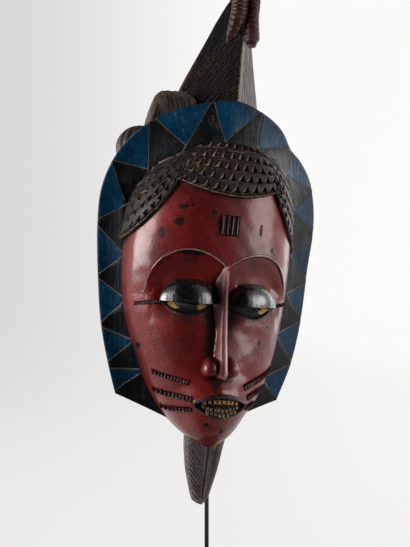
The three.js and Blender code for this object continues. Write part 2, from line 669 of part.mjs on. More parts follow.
// The rod stands in the foot's socket; the mask's ceiling rests on its crossbar and the chin leans on its arm
function rodSolid() {
  const ceiling = maskPoint(0, ROD_BEHIND, WALL.ceiling - FIT_GAP - ROD.barRadius);
  const barTop = new THREE.Vector3(0, ceiling.y, ceiling.z + ceiling.x * Math.tan(LEAN));
  const bottom = FOOT.thickness - ROD.socketDepth + FIT_GAP;
  const shaft = cylinderBetween(new THREE.Vector3(0, barTop.y, bottom), barTop, ROD.radius);
  const half = new THREE.Vector3(Math.cos(LEAN), 0, -Math.sin(LEAN)).multiplyScalar(ROD.barLength / 2);
  const bar = cylinderBetween(barTop.clone().sub(half), barTop.clone().add(half), ROD.barRadius);
  const armStart = new THREE.Vector3(0, barTop.y, MASK_HEIGHT + ROD.armZ);
  const armEnd = new THREE.Vector3(0, MASK_BEFORE_FOOT - ROD.armReach, armStart.z);
  const arm = cylinderBetween(armStart, armEnd, ROD.radius);
  const pad = cylinderBetween(new THREE.Vector3(0, armEnd.y + 4, armEnd.z), armEnd, ROD.barRadius + 0.8);
  return shaft.add(bar).add(arm).add(pad);
}

function footSolid() {
  const plate = new THREE.BoxGeometry(FOOT.width, FOOT.depth, FOOT.thickness);
  const slab = placedSolid(plate, new THREE.Matrix4().setPosition(0, 0, FOOT.thickness / 2));
  const y = MASK_BEFORE_FOOT + ROD_BEHIND;
  const low = new THREE.Vector3(0, y, FOOT.thickness - 1);
  const boss = cylinderBetween(low, new THREE.Vector3(0, y, FOOT.thickness + FOOT.boss), 3 * ROD.radius);
  const holeLow = new THREE.Vector3(0, y, FOOT.thickness - ROD.socketDepth);
  const hole = cylinderBetween(holeLow, new THREE.Vector3(0, y, 40), ROD.radius + FIT_GAP);
  return slab.add(boss).subtract(hole);
}

function cylinderBetween(from, to, radius) {
  const span = to.clone().sub(from);
  const geometry = new THREE.CylinderGeometry(radius, radius, span.length(), 16);
  const turn = new THREE.Quaternion().setFromUnitVectors(new THREE.Vector3(0, 1, 0), span.clone().normalize());
  const middle = from.clone().add(to).multiplyScalar(0.5);
  return placedSolid(geometry, new THREE.Matrix4().compose(middle, turn, new THREE.Vector3(1, 1, 1)));
}

// A point of the mask's own frame in the part's frame
function maskPoint(x, y, z) {
  const across = x * Math.cos(LEAN) + z * Math.sin(LEAN);
  const up = -x * Math.sin(LEAN) + z * Math.cos(LEAN);
  return new THREE.Vector3(across, MASK_BEFORE_FOOT + y, MASK_HEIGHT + up);
}

function material(paint) {
  return new THREE.MeshStandardMaterial(paint);
}

function named(name, geometry, paint) {
  const mesh = new THREE.Mesh(geometry, material(paint));
  mesh.name = name;
  return mesh;
}

const part = new THREE.Group();
const maskFrame = new THREE.Group();
maskFrame.position.set(0, MASK_BEFORE_FOOT, MASK_HEIGHT);
maskFrame.rotation.y = LEAN;
maskFrame.add(named("mask", geometryFromSolid(maskSolid()), PAINT.mask));
part.add(maskFrame);
part.add(named("stand_rod", geometryFromSolid(rodSolid()), PAINT.steel));
part.add(named("stand_foot", geometryFromSolid(footSolid()), PAINT.steel));

export default part;
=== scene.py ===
import math

import bmesh
import bpy
import numpy as np
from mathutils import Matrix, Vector


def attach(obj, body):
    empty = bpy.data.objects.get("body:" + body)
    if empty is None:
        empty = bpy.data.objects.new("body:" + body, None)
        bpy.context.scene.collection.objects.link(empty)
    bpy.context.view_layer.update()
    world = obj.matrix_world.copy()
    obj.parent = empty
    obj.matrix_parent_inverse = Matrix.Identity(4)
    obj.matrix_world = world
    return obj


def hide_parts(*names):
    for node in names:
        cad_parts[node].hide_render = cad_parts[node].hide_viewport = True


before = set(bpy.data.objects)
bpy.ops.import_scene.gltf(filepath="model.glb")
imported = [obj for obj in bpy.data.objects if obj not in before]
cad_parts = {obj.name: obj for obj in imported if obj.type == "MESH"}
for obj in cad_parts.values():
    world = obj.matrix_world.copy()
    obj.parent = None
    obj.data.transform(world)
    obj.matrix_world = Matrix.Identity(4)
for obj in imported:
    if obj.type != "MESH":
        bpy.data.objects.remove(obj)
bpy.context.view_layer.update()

# The mask's own frame, in millimetres: X to the right, Y back, Z up, leaning on its stand
LEAN = math.radians(4.8)
MASK_HEIGHT = 300.0
MASK_BEFORE_FOOT = 16.0
MM = 0.001

# Sections of the head from the chin up: height, left and right half width, depth in front of the collar
HEAD = np.array([
    (-136, 4, 4, 41), (-134.4, 10.5, 12, 45), (-131, 17.5, 19.5, 49.5), (-125, 25.5, 27.5, 53),
    (-117.5, 32.2, 34, 55.5), (-108, 39.8, 41.3, 57), (-92, 49.4, 52, 58), (-72, 57.6, 59.5, 57),
    (-50, 66.1, 64.6, 55), (-28, 71.7, 67.8, 53.5), (0, 75.1, 68.8, 55), (24, 75.4, 68.5, 57.5),
    (50, 72.8, 67.6, 60), (66, 67.3, 64.5, 60.5), (78, 60.3, 59.9, 59.5), (89, 50.1, 52.1, 56.5),
    (97.5, 38, 41, 51), (102.5, 27, 30, 43), (105.2, 16, 19, 33),
], float)
CHIN_Z, HEAD_TOP_Z = HEAD[0, 0], HEAD[-1, 0]
# How round the sections are, the least half size of one, and Y of the head's back rim above and at the chin
ROUNDNESS, NARROWEST, BACK_RIM_Y, CHIN_RIM_Y = 2.2, 2.0, 10.0, -14.0
# The hollow: thickness of its walls, the heights of its floor and ceiling, and how far back it is cut
WALL_SIDE, WALL_FRONT, HOLLOW_FLOOR, HOLLOW_CEILING, HOLLOW_BACK = 10.0, 15.0, -112.0, 84.0, 40.0

# The brows' carved edge: its height in the middle, its top and its outer end
BROW_MID_Z, BROW_TOP_X, BROW_TOP_Z, BROW_END_X, BROW_END_Z = 3.4, 29.0, 15.5, 58.0, -20.0
# An eye: its middle and half width, how high and how far out its lid goes, how far down its slit reaches,
# and the cut that goes through the wood there, which climbs towards the inside
EYE_X, EYE_Z, EYE_HALF, LID_HEIGHT, LID_DOME, LENS_DROP = 26.8, -24.0, 21.3, 17.5, 12.8, 8.6
EYE_SLOT, SLOT_CLIMB = (17, 50, 2.6), 0.42
# The mouth: its middle, half its width and the half height and depth of its opening
MOUTH_X, MOUTH_Z, MOUTH_HALF, MOUTH_OPENING, MOUTH_DEPTH = 1.7, -98.1, 19.2, 6.4, 3.4
NOSE = np.array([  # height, Y of the ridge, half width of the foot
    (9, -55, 2), (2, -59, 3.5), (-18, -60, 4.2), (-34, -62.5, 4.8), (-52, -67, 5.5),
    (-65, -70.5, 7), (-74, -73, 8.5), (-78, -71, 8.5), (-80, -60, 6),
], float)
# Y of the nose's foot and width of the flat strip on its ridge, then middle, Y and bulge of each wing
NOSE_FOOT_Y, NOSE_STRIP = -52.0, 2.2
WING_X, WING_Z, WING_Y, WING_BULGE = 7.2, -73.0, -57.0, 10.2
CUT_AWAY = -9.0  # a relief so deep that the surface beside it always wins

# The hairline's corner on each side: X and Z of the corner, and X where the line meets the head's rim
HAIR_LEFT, HAIR_RIGHT = (41.0, 66.5, 75.0), (34.0, 65.0, 69.0)
# Height of the hairline in the middle and at the rim, its sag at the temples, then top and foot of the line
# where the hair meets the collar, and how far the hair stands out
HAIR_DIP, HAIR_RIM_Z, TEMPLE_SAG = 57.0, 21.0, 5.0
CROWN_Z, CROWN_FOOT_Z, HAIR_RISE = 100.5, 40.0, 2.6
# Rows of chips, and where the first starts between the hairline and the collar
CHIP_ROWS, FIRST_ROW = 5, 0.055
# How many chips are in a row of the fringe, their pitch on the temples, and how deep the chips are cut
# in the fringe, on the temples and at the rough corners between the two
FRINGE_CHIPS, TEMPLE_PITCH, CHIP_DEPTHS = 10, 4.3, (2.3, 2.0, 1.3)

# The collar's outer rim and its inner one on the head
COLLAR_OUTER = [
    (-71.4, -6, -104), (-79, -3, -80), (-87, 0, -49), (-92.7, 0, -10), (-96.8, -2, 33), (-96.5, -9, 60),
    (-90.5, -18, 81), (-80.6, -28, 97), (-65.9, -38, 110.5), (-44, -45, 123), (-21.3, -50, 129.5),
    (0, -54, 132.5), (19.2, -52, 128.5), (37, -44, 123), (49, -34, 118), (57, -26, 112), (72, -17, 104),
    (86, -9, 91), (93.5, -4, 72), (96.4, -2, 47), (94.5, 0, 10), (92, 0, -33), (84.9, -2, -72.6),
    (71.4, -6, -107),
]
COLLAR_INNER = [
    (-27, -13, -122), (-52, -8, -90), (-63.5, -6, -62), (-72, -5, -27), (-75.8, -6, 9.6), (-77.6, -8, 36),
    (-75, -12, 61), (-62.1, -24, 81), (-50, -34, 90), (-37.2, -43, 97), (-20, -49, 101), (-4, -51, 102.5),
    (10, -50, 102), (21.1, -48, 101.2), (38, -40, 96), (53.9, -30, 87.9), (63, -22, 75), (70, -14, 61),
    (74, -10, 42), (75.2, -8, 22), (74.2, -8, -13), (68, -8, -48.8), (57.8, -10, -87.5), (30, -14, -121),
]
# Its thickness, how far it goes on inside the head, and about how many rings it has
COLLAR_THICKNESS, COLLAR_BURIED, COLLAR_RINGS = 7.0, 10.0, 170
# Each painted triangle: one end of its base on the outer rim, its tip on the inner rim, the other end
COLLAR_TRIANGLES = [
    ((-72.2, -101.5), (-56.5, -86.4), (-77.6, -84.6)),
    ((-79.3, -78.7), (-65.9, -61.4), (-86.2, -51.6)), ((-87.1, -47.3), (-72, -27.1), (-92.5, -12.3)),
    ((-92.8, -8.2), (-76.8, 9.6), (-96.2, 30.8)), ((-97.5, 36.8), (-78.3, 50.8), (-90.5, 81.1)),
    ((-90.5, 82.5), (-62.1, 78.7), (-65.9, 110.5)), ((-61, 112.5), (-37.2, 97.1), (-21.3, 129)),
    ((-19, 129.5), (-7.3, 101.9), (19.2, 128.1)), ((21.5, 127.5), (21.1, 101.2), (55, 113)),
    ((60, 110), (53.9, 87.9), (90.7, 83.8)), ((91.5, 82), (70, 61), (97.7, 47.1)),
    ((93.6, 37.9), (75.2, 22), (93.4, 3.7)), ((93.8, -0.9), (74.2, -13), (92, -33.2)),
    ((90.7, -36.1), (68.1, -48.8), (84.9, -72.6)), ((83.2, -75.4), (57.8, -87.5), (71.4, -107.1)),
]
CREST = np.array([  # height, left and right half width
    (88, 50, 38), (112, 49, 38), (130, 46, 37), (145, 42, 34.5), (155, 38.5, 32.5), (175, 30, 27),
    (194, 21.5, 20.5), (210, 14.5, 14), (220, 9, 9), (226, 4.5, 4.5),
], float)
# Rings and columns of its front, Y of its ridge and of its edges at the foot, and how far the edges come
# forward at the top
CREST_RINGS, CREST_COLUMNS, CREST_RIDGE_Y, CREST_BACK_Y, CREST_HOOK = 56, 25, -51.0, 3.0, 42.0
# Width and depth of the cut lines on the crest, and how far apart the slanting ones start
CREST_CUT, CREST_PALE, CREST_UPRIGHT, CREST_PITCH = (1.4, 0.6), (0.55, 0.28), (0.9, 0.4), 3.5
# The plaits' paths, which hook over the crest's top
PLAIT_LEFT = [
    (-6, -36, 222), (-8, -50, 229.2), (-8.4, -60, 220), (-8.4, -62, 204), (-8.8, -61, 192),
    (-14.5, -55, 175),
]
PLAIT_RIGHT = [
    (2, -36, 222), (2, -50, 229.2), (2.2, -60, 220), (2.2, -61, 204), (2.4, -60, 190), (5, -58, 174),
]
PLAIT_BETWEEN = [(-3.1, -36, 222), (-3.1, -49, 229), (-3.1, -58, 220), (-3.1, -59, 204), (-3.1, -56, 184)]
PLAIT_RIBS = 22
# The tall lock's outline, its middle, Y of its middle and half its depth, then width and depth of the lines
# over its shoulder and left and right of them
TALL_LOCK = [(-69, 92), (-66, 119), (-62, 137.5), (-57, 143), (-40, 145), (-26, 141), (-24, 92)]
TALL_LOCK_MIDDLE, TALL_LOCK_Y, TALL_LOCK_HALF = (-46.0, 118.0), -7.0, 19.0
SHOULDER_CUT, LEFT_CUT, RIGHT_CUT = (1.6, 1.0), (0.8, 0.4), (0.7, 0.35)
# The rounded locks beside the collar: middle, radii and name
ROUND_LOCKS = [((-66, -2, 98), (21, 14, 20), "left lock"), ((54, 0, 92), (22, 16, 22), "right lock")]
BEARD = np.array([  # height, left and right half width, Y of the ridge, Y of the side edges
    (-184.5, 3, 3, -33, -25), (-183.3, 5.2, 6, -34, -24.5), (-179.8, 6.5, 8.8, -35, -24.5),
    (-169.9, 9.6, 11, -37.5, -25.5), (-160, 12.4, 13, -40, -27), (-150, 14.1, 14.6, -42.5, -28),
    (-140, 15.5, 15.6, -44.5, -29.5), (-130, 15.8, 17.2, -46, -31), (-122, 15.5, 17.5, -47, -32),
], float)
BEARD_RIDGE_X, BEARD_BACK_Y = 1.6, -18.0
# Width and depth of the cut lines on the beard, and how far apart the slanting ones are
BEARD_CUT, BEARD_PALE, BEARD_MIDDLE, BEARD_PITCH = (0.9, 0.4), (0.5, 0.25), (0.9, 0.9), 1.55
# Rows of teeth: how many, height above the mouth's middle, half length, sag and height of a tooth
UPPER_TEETH = [(8, 1.8, 12.9, 1.4, 2.9)]
LOWER_TEETH = [(10, -0.7, 13.2, -2.2, 2.3), (8, -3.4, 10.6, -2.2, 2.5)]
# The bars over the nose: size of one across, outward and up, how many, their pitch and their middle
FOREHEAD_BAR, BAR_COUNT, BAR_PITCH, BARS_X, BARS_Z = (1.9, 2.4, 14.0), 4, 3.7, -0.8, 36.0
# Rows of scars: both ends, and how many nicks lie between them
SCAR_ROWS = [
    ((-46.5, -79.8), (-23.5, -83.2), 11), ((-43.5, -94.6), (-19.6, -94.6), 10),
    ((-36.3, -107.7), (-18.8, -102.3), 8), ((21.8, -85.5), (49.8, -76), 11),
    ((24.9, -93.4), (44.2, -89.5), 8), ((23.5, -101), (34, -101), 5),
    ((-63.5, -28.5), (-48.4, -25), 10), ((49, -23), (60.5, -21), 8),
]

# Places where the red paint has gone: middle and half sizes
PAINT_LOSSES = [
    (-38.7, 35.9, 3.4, 3.6), (-36.9, 47.1, 4.2, 1.9), (-50.4, 27, 3.2, 4.0), (-14.8, 44.3, 2.4, 2.0),
    (-30, 49, 1.2, 1.2), (-45, 45.5, 1.3, 1.0), (24.7, 34.7, 1.5, 4.6), (37, 20.5, 1.8, 2.6),
    (-27, 13.2, 10.0, 1.7), (-7.8, -113.2, 2.2, 1.6), (4.7, -118.8, 2.0, 1.8), (-58, -62, 1.6, 3.2),
    (33, -52, 1.6, 3.0), (40, -40, 2.4, 1.4), (-9, 35.6, 1.7, 5.5),
]
# Sooty patches and painted shade on the red: middle, half sizes, strength and whether both sides of the face
# have one
# Some are painted shadow and shade: under the nose, the left side of the philtrum, the nose's flanks, the
# left socket, both cheeks and the nose's root
SOOT_AND_SHADE_PATCHES = [
    (8, -26, 5.4, 14, 0.9, True), (-5, -24, 3.6, 15, 0.9, False), (26, -23, 25, 11, 0.8, True),
    (-8, -48, 3.6, 22, 0.95, False), (6, -46, 3.2, 20, 0.55, False), (0, -80, 11, 2.4, 1.0, False),
    (-3.6, -84.5, 3.4, 5.5, 0.9, False), (30, 9, 16, 3.5, 0.35, True), (0, -137, 34, 8, 0.5, False),
    (58, -82, 8, 30, 0.3, True), (30, -36, 26, 5, 0.3, True), (-26, 2, 26, 11, 0.35, False),
    (-27, -54, 17, 20, 0.4, False), (22, -52, 9, 18, 0.2, False), (-2.5, -6, 3, 9, 0.5, False),
]
# Each softbox: name, place and target in metres, size, power, spread in degrees
SOFTBOXES = [
    ("left softbox", (-1.13, 0.0, 0.47), (0, 0, 0.36), (0.88, 0.5), 7.3, 100),
    ("front right softbox", (0.87, -0.68, 0.42), (0, 0, 0.36), (0.75, 0.55), 3.0, 100),
    ("right softbox", (1.1, 0.42, 0.5), (0, 0, 0.33), (0.4, 1.3), 1.9, 100),
]
# How bright the room is for the mask, and how much brighter the camera sees it
ROOM_LIGHT, ROOM_SEEN = 0.025, 0.75
# How much wax is on the red paint, and how far the wood grain leans from upright
WAX, GRAIN_LEAN = 0.54, 0.084
# The paper bowl under the mask, in metres: rings on its flat floor, where it starts to bend, the bend's
# radius, the height of its wall, and how many sides it has
BOWL_RINGS, BEND_FROM, BEND_RADIUS, BOWL_TOP, BOWL_SIDES = (0.4, 1.2), 2.4, 1.0, 5.0, 64
# The camera: the photo's height, focal length and shift in pixels, the sensor's height in millimetres,
# then the turn round the mask and the distance in metres
PHOTO_TALL, PHOTO_FOCAL, PHOTO_SHIFT, SENSOR = 547, 480, -2.8, 36.0
CAMERA_TURN, CAMERA_DISTANCE = math.radians(14.8), 0.4176

# The finishes of the one carving, in the order of its material slots
FINISHES = [
    "red_paint", "hair_dark", "hair_worn", "collar_blue", "collar_black", "incised_pale", "collar_rim",
    "lid_black", "teeth", "teeth_grey", "mouth_black", "crest_dark", "crest_grey", "plait_brown",
    "beard_dark", "hollow_wood", "scar_black", "scar_bar", "scar_bead", "hair_pit_shade", "crest_line",
]
SLOT = {name: i for i, name in enumerate(FINISHES)}


def smoothstep(low, high, value):
    """0 up to low, 1 from high on, and a smooth climb between them."""
    t = np.clip((value - low) / (high - low), 0, 1)
    return t * t * (3 - 2 * t)


def bell(distance, spread):
    """1 where the distance is nothing, falling away smoothly on both sides."""
    return np.exp(-(distance / spread) ** 2)


def smooth_max(a, b, blend):
    """The larger of two values, with a soft change from one to the other."""
    h = np.clip(0.5 + 0.5 * (a - b) / blend, 0, 1)
    return b + (a - b) * h + blend * h * (1 - h)


def smooth_curve(heights, values, slopes, z):
    """A smooth curve through values at rising heights, with the slope that it has at each."""
    i = np.clip(np.searchsorted(heights, z) - 1, 0, len(heights) - 2)
    span = heights[i + 1] - heights[i]
    t = np.clip((z - heights[i]) / span, 0, 1)
    return ((1 + 2 * t) * (1 - t) ** 2 * values[i] + t * (1 - t) ** 2 * span * slopes[i]
            + t * t * (3 - 2 * t) * values[i + 1] + t * t * (t - 1) * span * slopes[i + 1])


def head_section(column, z):
    """One value of the head's sections at any height."""
    heights, values = HEAD[:, 0], HEAD[:, column]
    order = np.arange(len(heights))
    before, after = np.maximum(order - 1, 0), np.minimum(order + 1, len(heights) - 1)
    slopes = (values[after] - values[before]) / (heights[after] - heights[before])
    return smooth_curve(heights, values, slopes, np.asarray(z, float))


def half_width(side, z):
    """Half the head's width at a height, left or right of the middle as the sign of side says."""
    return np.where(side < 0, head_section(1, z), head_section(2, z))


def head_point(q, z, side_inset=0.0, front_inset=0.0):
    """A place on the plain head: q runs from -1 at its left rim over the front to 1 at its right rim."""
    width = np.maximum(NARROWEST, half_width(q, z) - side_inset)
    depth = np.maximum(NARROWEST, head_section(3, z) - front_inset)
    fall = np.power(np.maximum(0, 1 - np.abs(q) ** ROUNDNESS), 1 / ROUNDNESS)
    return np.stack([width * q, -depth * fall, z + 0 * q], axis=-1)


def head_normal(q, z):
    """The direction straight out of the plain head."""
    step, edge = 0.01, 0.995
    left, right = head_point(np.maximum(-edge, q - step), z), head_point(np.minimum(edge, q + step), z)
    low, high = head_point(q, z - 1), head_point(q, z + 1)
    out = np.cross(right - left, high - low)
    return out / np.linalg.norm(out, axis=-1, keepdims=True)


def brow_height(x):
    """The carved edge of the brows: up from the nose to the top, then down in an arc to the temple."""
    u = np.abs(x)
    climb = np.sin(0.5 * np.pi * (np.minimum(u, BROW_TOP_X) / BROW_TOP_X) ** 0.85)
    inner = BROW_MID_Z + (BROW_TOP_Z - BROW_MID_Z) * climb
    t = np.clip((u - BROW_TOP_X) / (BROW_END_X - BROW_TOP_X), 0, 1)
    outer = BROW_END_Z + (BROW_TOP_Z - BROW_END_Z) * np.sqrt(np.maximum(0, 1 - t * t))
    return np.where(u < BROW_TOP_X, inner, outer)


def hair_corner(x):
    """X and Z of the hairline's corner, and X of its lower end, on the side where x lies."""
    return [np.where(np.asarray(x) < 0, left, right) for left, right in zip(HAIR_LEFT, HAIR_RIGHT)]


def hairline_height(x):
    """Where the forehead meets the hair: a fringe that dips in the middle, and a slope at each temple."""
    u = np.abs(x)
    corner_x, corner_z, rim_x = hair_corner(x)
    t = np.clip((u - corner_x) / (rim_x - corner_x), 0, 1)
    temple = corner_z + (HAIR_RIM_Z - corner_z) * t - TEMPLE_SAG * np.sin(np.pi * t)
    fringe = HAIR_DIP + (corner_z - HAIR_DIP) * (u / corner_x) ** 2
    return np.where(u < corner_x, fringe, temple)


def crown_height(x):
    """Where the hair meets the collar."""
    t = np.clip(np.abs(x) / (hair_corner(x)[2] + 1.5), 0, 0.999)
    return CROWN_FOOT_Z + (CROWN_Z - CROWN_FOOT_Z) * (1 - t ** ROUNDNESS) ** (1 / ROUNDNESS)


def row_start(row):
    """Where a row of chips starts, from 0 at the hairline to 1 at the collar."""
    return FIRST_ROW + (1 - FIRST_ROW) * row / CHIP_ROWS


def nose_relief(x, z, base_y):
    """How far the bridge, and the wings of the nose, stand out in front of the plain head."""
    u = np.abs(x)
    ridge, foot = (np.interp(z, NOSE[::-1, 0], NOSE[::-1, column]) for column in (1, 2))
    # The right side of the ridge has a narrow flat strip before its flank falls away
    flat = 0.35 * np.minimum(x, NOSE_STRIP)
    right = np.maximum(0, x - NOSE_STRIP) * foot / np.maximum(foot - NOSE_STRIP, 1) + flat
    strip = np.where(x > 0, right, u)
    bridge = ridge + (NOSE_FOOT_Y - ridge) * np.minimum(strip / foot, 1.6) ** 0.92
    bridge = bridge + 0.7 * bell(x + 0.9, 0.6) * smoothstep(-2, -8, z)
    spread = 6.6 - 1.2 * smoothstep(-72, -62, z)
    tall = np.where(z > WING_Z, 9.5, 5.6)
    wing = 1 - np.abs((u - WING_X) / spread) ** 2.3 - np.abs((z - WING_Z) / tall) ** 2.2
    wing_y = WING_Y - WING_BULGE * np.maximum(wing, 0) ** 0.45
    on_nose = (z < NOSE[0, 0]) & (z > NOSE[-1, 0]) & (u < 3 * foot)
    return np.where(on_nose, base_y - bridge, CUT_AWAY), np.where(wing > 0, base_y - wing_y, CUT_AWAY)


def eye_place(x, z):
    """Across and up from an eye's middle in parts of its half sizes, and how far down its slit reaches."""
    across = (np.abs(x) - EYE_X) / EYE_HALF
    return across, (z - EYE_Z) / LID_HEIGHT, LENS_DROP * (1 - across * across)


def on_lid(across, up):
    """More than nothing inside a lid's outline, and 1 in the middle of its lower edge."""
    return 1 - np.abs(across) ** 2.3 - np.abs(up) ** 2.2


def eye_relief(x, z):
    """The sockets under the brows, the domed lids, and the slit and rim below each."""
    u = np.abs(x)
    under = brow_height(x) - z
    outside = smoothstep(38, 57, u) * smoothstep(-6, -26, z)
    fade = smoothstep(-48, -26, z) * (1 - 0.8 * smoothstep(46, 60, u)) * (1 - outside)
    socket = (2.2 * smoothstep(0, 0.9, under) + 4.4 * smoothstep(1, 16, under)) * fade
    bead = 0.5 * bell(under + 0.7, 0.5) * (1 - smoothstep(56, 59, u)) * smoothstep(1, 4, u)
    across, up, lens = eye_place(x, z)
    below = EYE_Z - z
    dome = np.sqrt(np.maximum(0, on_lid(across, up)))
    lid = np.where((z >= EYE_Z) & (dome > 0), LID_DOME * dome ** 0.9, 0)
    swell = np.maximum(0, 1 - 0.7 * across * across)
    ground = 5 * smoothstep(-48, -33, z) * smoothstep(-24, -30, z) * swell
    in_slit = (below > 0) & (below < lens) & (np.abs(across) < 1)
    slit = np.where(in_slit, 1.0 + 0.28 * below, 0)
    rim = 1.1 * bell(below - lens, 0.9) * (np.abs(across) < 1)
    return np.maximum(lid, np.where(in_slit, slit, ground + rim)) - socket + bead


def mouth_place(x):
    """Across the mouth from -1 to 1, half the height of its opening there, and the lips' half thickness."""
    across = (x - MOUTH_X) / MOUTH_HALF
    bow = np.maximum(0, 1 - across * across)
    return across, MOUTH_OPENING * bow, 0.8 + 1.2 * np.sqrt(bow)


def mouth_relief(x, z):
    """The rounded muzzle with its philtrum and chin, and the lips round the open mouth."""
    far = np.hypot((x - MOUTH_X) / 34, (z - MOUTH_Z) / 27)
    muzzle = 8 * (1 - smoothstep(0.1, 1, far))
    philtrum = 1.5 * np.exp(-(np.abs(x - 0.4) / np.where(x < 0.4, 3.2, 7.0)) ** 1.3)
    philtrum = philtrum * smoothstep(-92, -87, z) * (1 - smoothstep(-78, -74, z))
    chin = 2.5 * np.exp(-(x / 16) ** 2 - ((z + 121) / 8) ** 2)
    across, opening, thick = mouth_place(x)
    off = np.abs(z - MOUTH_Z)
    roll = np.maximum(0, 1 - np.abs((off - opening) / thick) ** 3) ** 0.5
    lip = np.where(np.abs(across) < 1.04, roll, 0) * (0.6 + 0.6 * thick)
    in_mouth = (off < opening) & (np.abs(across) < 1)
    pocket = np.where(in_mouth, -MOUTH_DEPTH * smoothstep(0, 1.5, opening - off), 0)
    return muzzle + philtrum + chin + lip + pocket


def brow_bulge(z):
    """The forehead swells a little above the brows and falls back towards the hair."""
    return 1.4 * bell(z - 14, 26)


def hand_wobble(x, z):
    """The slight waves that the knife and the paint leave in a smooth surface."""
    return (0.14 * np.sin(x * 0.17 + 1.3 * np.sin(z * 0.09)) * np.sin(z * 0.13 + 0.7)
            + 0.05 * np.sin(x * 0.41 + z * 0.33) + 0.04 * np.sin(z * 0.52 - x * 0.23)
            + 0.02 * np.sin(1.31 * x + 2.1 * np.sin(0.37 * z)) * np.sin(1.07 * z + 1.7 * np.sin(0.29 * x)))


def face_surface(q, z):
    """A place on the carved face."""
    base = head_point(q, z)
    x, base_y = base[..., 0], base[..., 1]
    rim_fade = 1 - smoothstep(0.86, 0.99, np.abs(q))
    carving = (eye_relief(x, z) + mouth_relief(x, z) + hand_wobble(x, z) + brow_bulge(z)) * rim_fade
    bridge, wing = nose_relief(x, z, base_y)
    carving = smooth_max(carving, smooth_max(bridge, wing, 2.6), 1.0)
    return base + head_normal(q, z) * carving[..., None]


def hair_surface(q, z, band):
    """A place on the hair: band is 0 at the hairline, 1 where the hair meets the collar, more behind it."""
    base = head_point(q, z)
    border = 0.9 * bell(band - 0.02, 0.016)
    lines = np.zeros_like(band)
    for row in range(CHIP_ROWS):
        past = band - row_start(row)
        lines = lines - 0.8 * bell(past, 0.006) + 0.5 * bell(past - 0.014, 0.006)
    rise = HAIR_RISE + border + lines * (band < 0.99)
    return base + head_normal(q, z) * rise[..., None]


def hair_rings():
    """Places of the rings over the hair: close together at each line, wider apart between the lines."""
    places = [0, 0.008, 0.016, 0.024, 0.034, 0.042]
    for row in range(CHIP_ROWS):
        start, end = row_start(row), row_start(row + 1)
        places += [start + step for step in (-0.008, -0.004, 0, 0.004, 0.008, 0.014, 0.02)]
        places += list(np.linspace(start + 0.028, end - 0.016, 5))
    return [place for place in places if place < 0.995]


def solve_height(line, q):
    """The height at which a line over the head crosses each of its columns."""
    z = np.full_like(q, 20.0)
    for _ in range(40):
        z = 0.5 * z + 0.5 * line(head_point(q, z)[..., 0])
    return z


def new_object(name, data):
    """A new object in the scene."""
    made = bpy.data.objects.new(name, data)
    bpy.context.scene.collection.objects.link(made)
    return made


class Shell:
    """Points, faces and the finish of each face of one closed piece of carving."""

    def __init__(self):
        self.points = []
        self.faces = []
        self.finish = []

    def count(self):
        """How many points there are so far."""
        return sum(len(part) for part in self.points)

    def add(self, points, faces, finish):
        """A part with its own points: its faces count from its first point."""
        start = self.count()
        self.points.append(points)
        self.faces += [tuple(start + i for i in face) for face in faces]
        self.finish += finish

    def rings(self, rings, end, finish=None):
        """A skin over closed rings of points in the end's finish, or in one for each row and point."""
        rows, size = rings.shape[:2]
        if finish is None:
            finish = np.full((rows - 1, size), SLOT[end])
        start = self.count()
        sides = [(r * size + i, r * size + (i + 1) % size) for r in range(rows - 1) for i in range(size)]
        self.add(rings.reshape(-1, 3), [(a, b, b + size, a + size) for a, b in sides],
                 [int(finish[r][i]) for r in range(rows - 1) for i in range(size)])
        for r in (0, rows - 1):
            middle = self.count()
            self.points.append(rings[r].mean(axis=0, keepdims=True))
            for i in range(size):
                a, b = start + r * size + i, start + r * size + (i + 1) % size
                self.faces.append((a, b, middle) if r else (b, a, middle))
                self.finish.append(SLOT[end])

    def to_object(self, name):
        """The piece as an object with all the carving's finishes, its faces turned outward."""
        mesh = bpy.data.meshes.new(name)
        mesh.from_pydata((to_world(np.concatenate(self.points)) * MM).tolist(), [], self.faces)
        mesh.polygons.foreach_set("material_index", self.finish)
        obj = new_object(name, mesh)
        for material in carving_materials():
            obj.data.materials.append(material)
        outward(obj)
        return obj


def to_world(points):
    """The mask's own frame to the stand's, both in millimetres."""
    x = points[:, 0] * math.cos(LEAN) + points[:, 2] * math.sin(LEAN)
    z = -points[:, 0] * math.sin(LEAN) + points[:, 2] * math.cos(LEAN) + MASK_HEIGHT
    return np.stack([x, points[:, 1] + MASK_BEFORE_FOOT, z], axis=1)


def to_mask_frame(points):
    """World metres to the mask's own frame in millimetres."""
    x, y, z = (points / MM - (0, MASK_BEFORE_FOOT, MASK_HEIGHT)).T
    return x * math.cos(LEAN) - z * math.sin(LEAN), y, x * math.sin(LEAN) + z * math.cos(LEAN)


def outward(obj):
    """Turns the faces round where they point into the wood."""
    work = bmesh.new()
    work.from_mesh(obj.data)
    bmesh.ops.remove_doubles(work, verts=work.verts, dist=1e-7)
    if work.calc_volume(signed=True) < 0:
        bmesh.ops.reverse_faces(work, faces=work.faces)
    bmesh.ops.triangulate(work, faces=work.faces)
    work.to_mesh(obj.data)
    work.free()


def ring_piece(rings, end, name, finish=None):
    """A piece of carving made of one skin over rings."""
    shell = Shell()
    shell.rings(np.array(rings), end, finish)
    return shell.to_object(name)


def head_columns():
    """Where the head's columns stand: closest at the nose, and evenly round its sides."""
    bend = 0.68
    inner = bend * np.linspace(0, 1, 56) ** 1.1
    angle_from = math.asin(bend ** (ROUNDNESS / 2))
    outer = np.sin(np.linspace(angle_from, math.pi / 2, 24)[1:]) ** (2 / ROUNDNESS)
    half = np.concatenate([inner, outer])
    return np.concatenate([-half[:0:-1], half])


def level(height):
    """A line that runs straight across the head."""
    return lambda x: height + 0 * x


def above(line, rise):
    """A line that keeps its distance from another one."""
    return lambda x: line(x) + rise


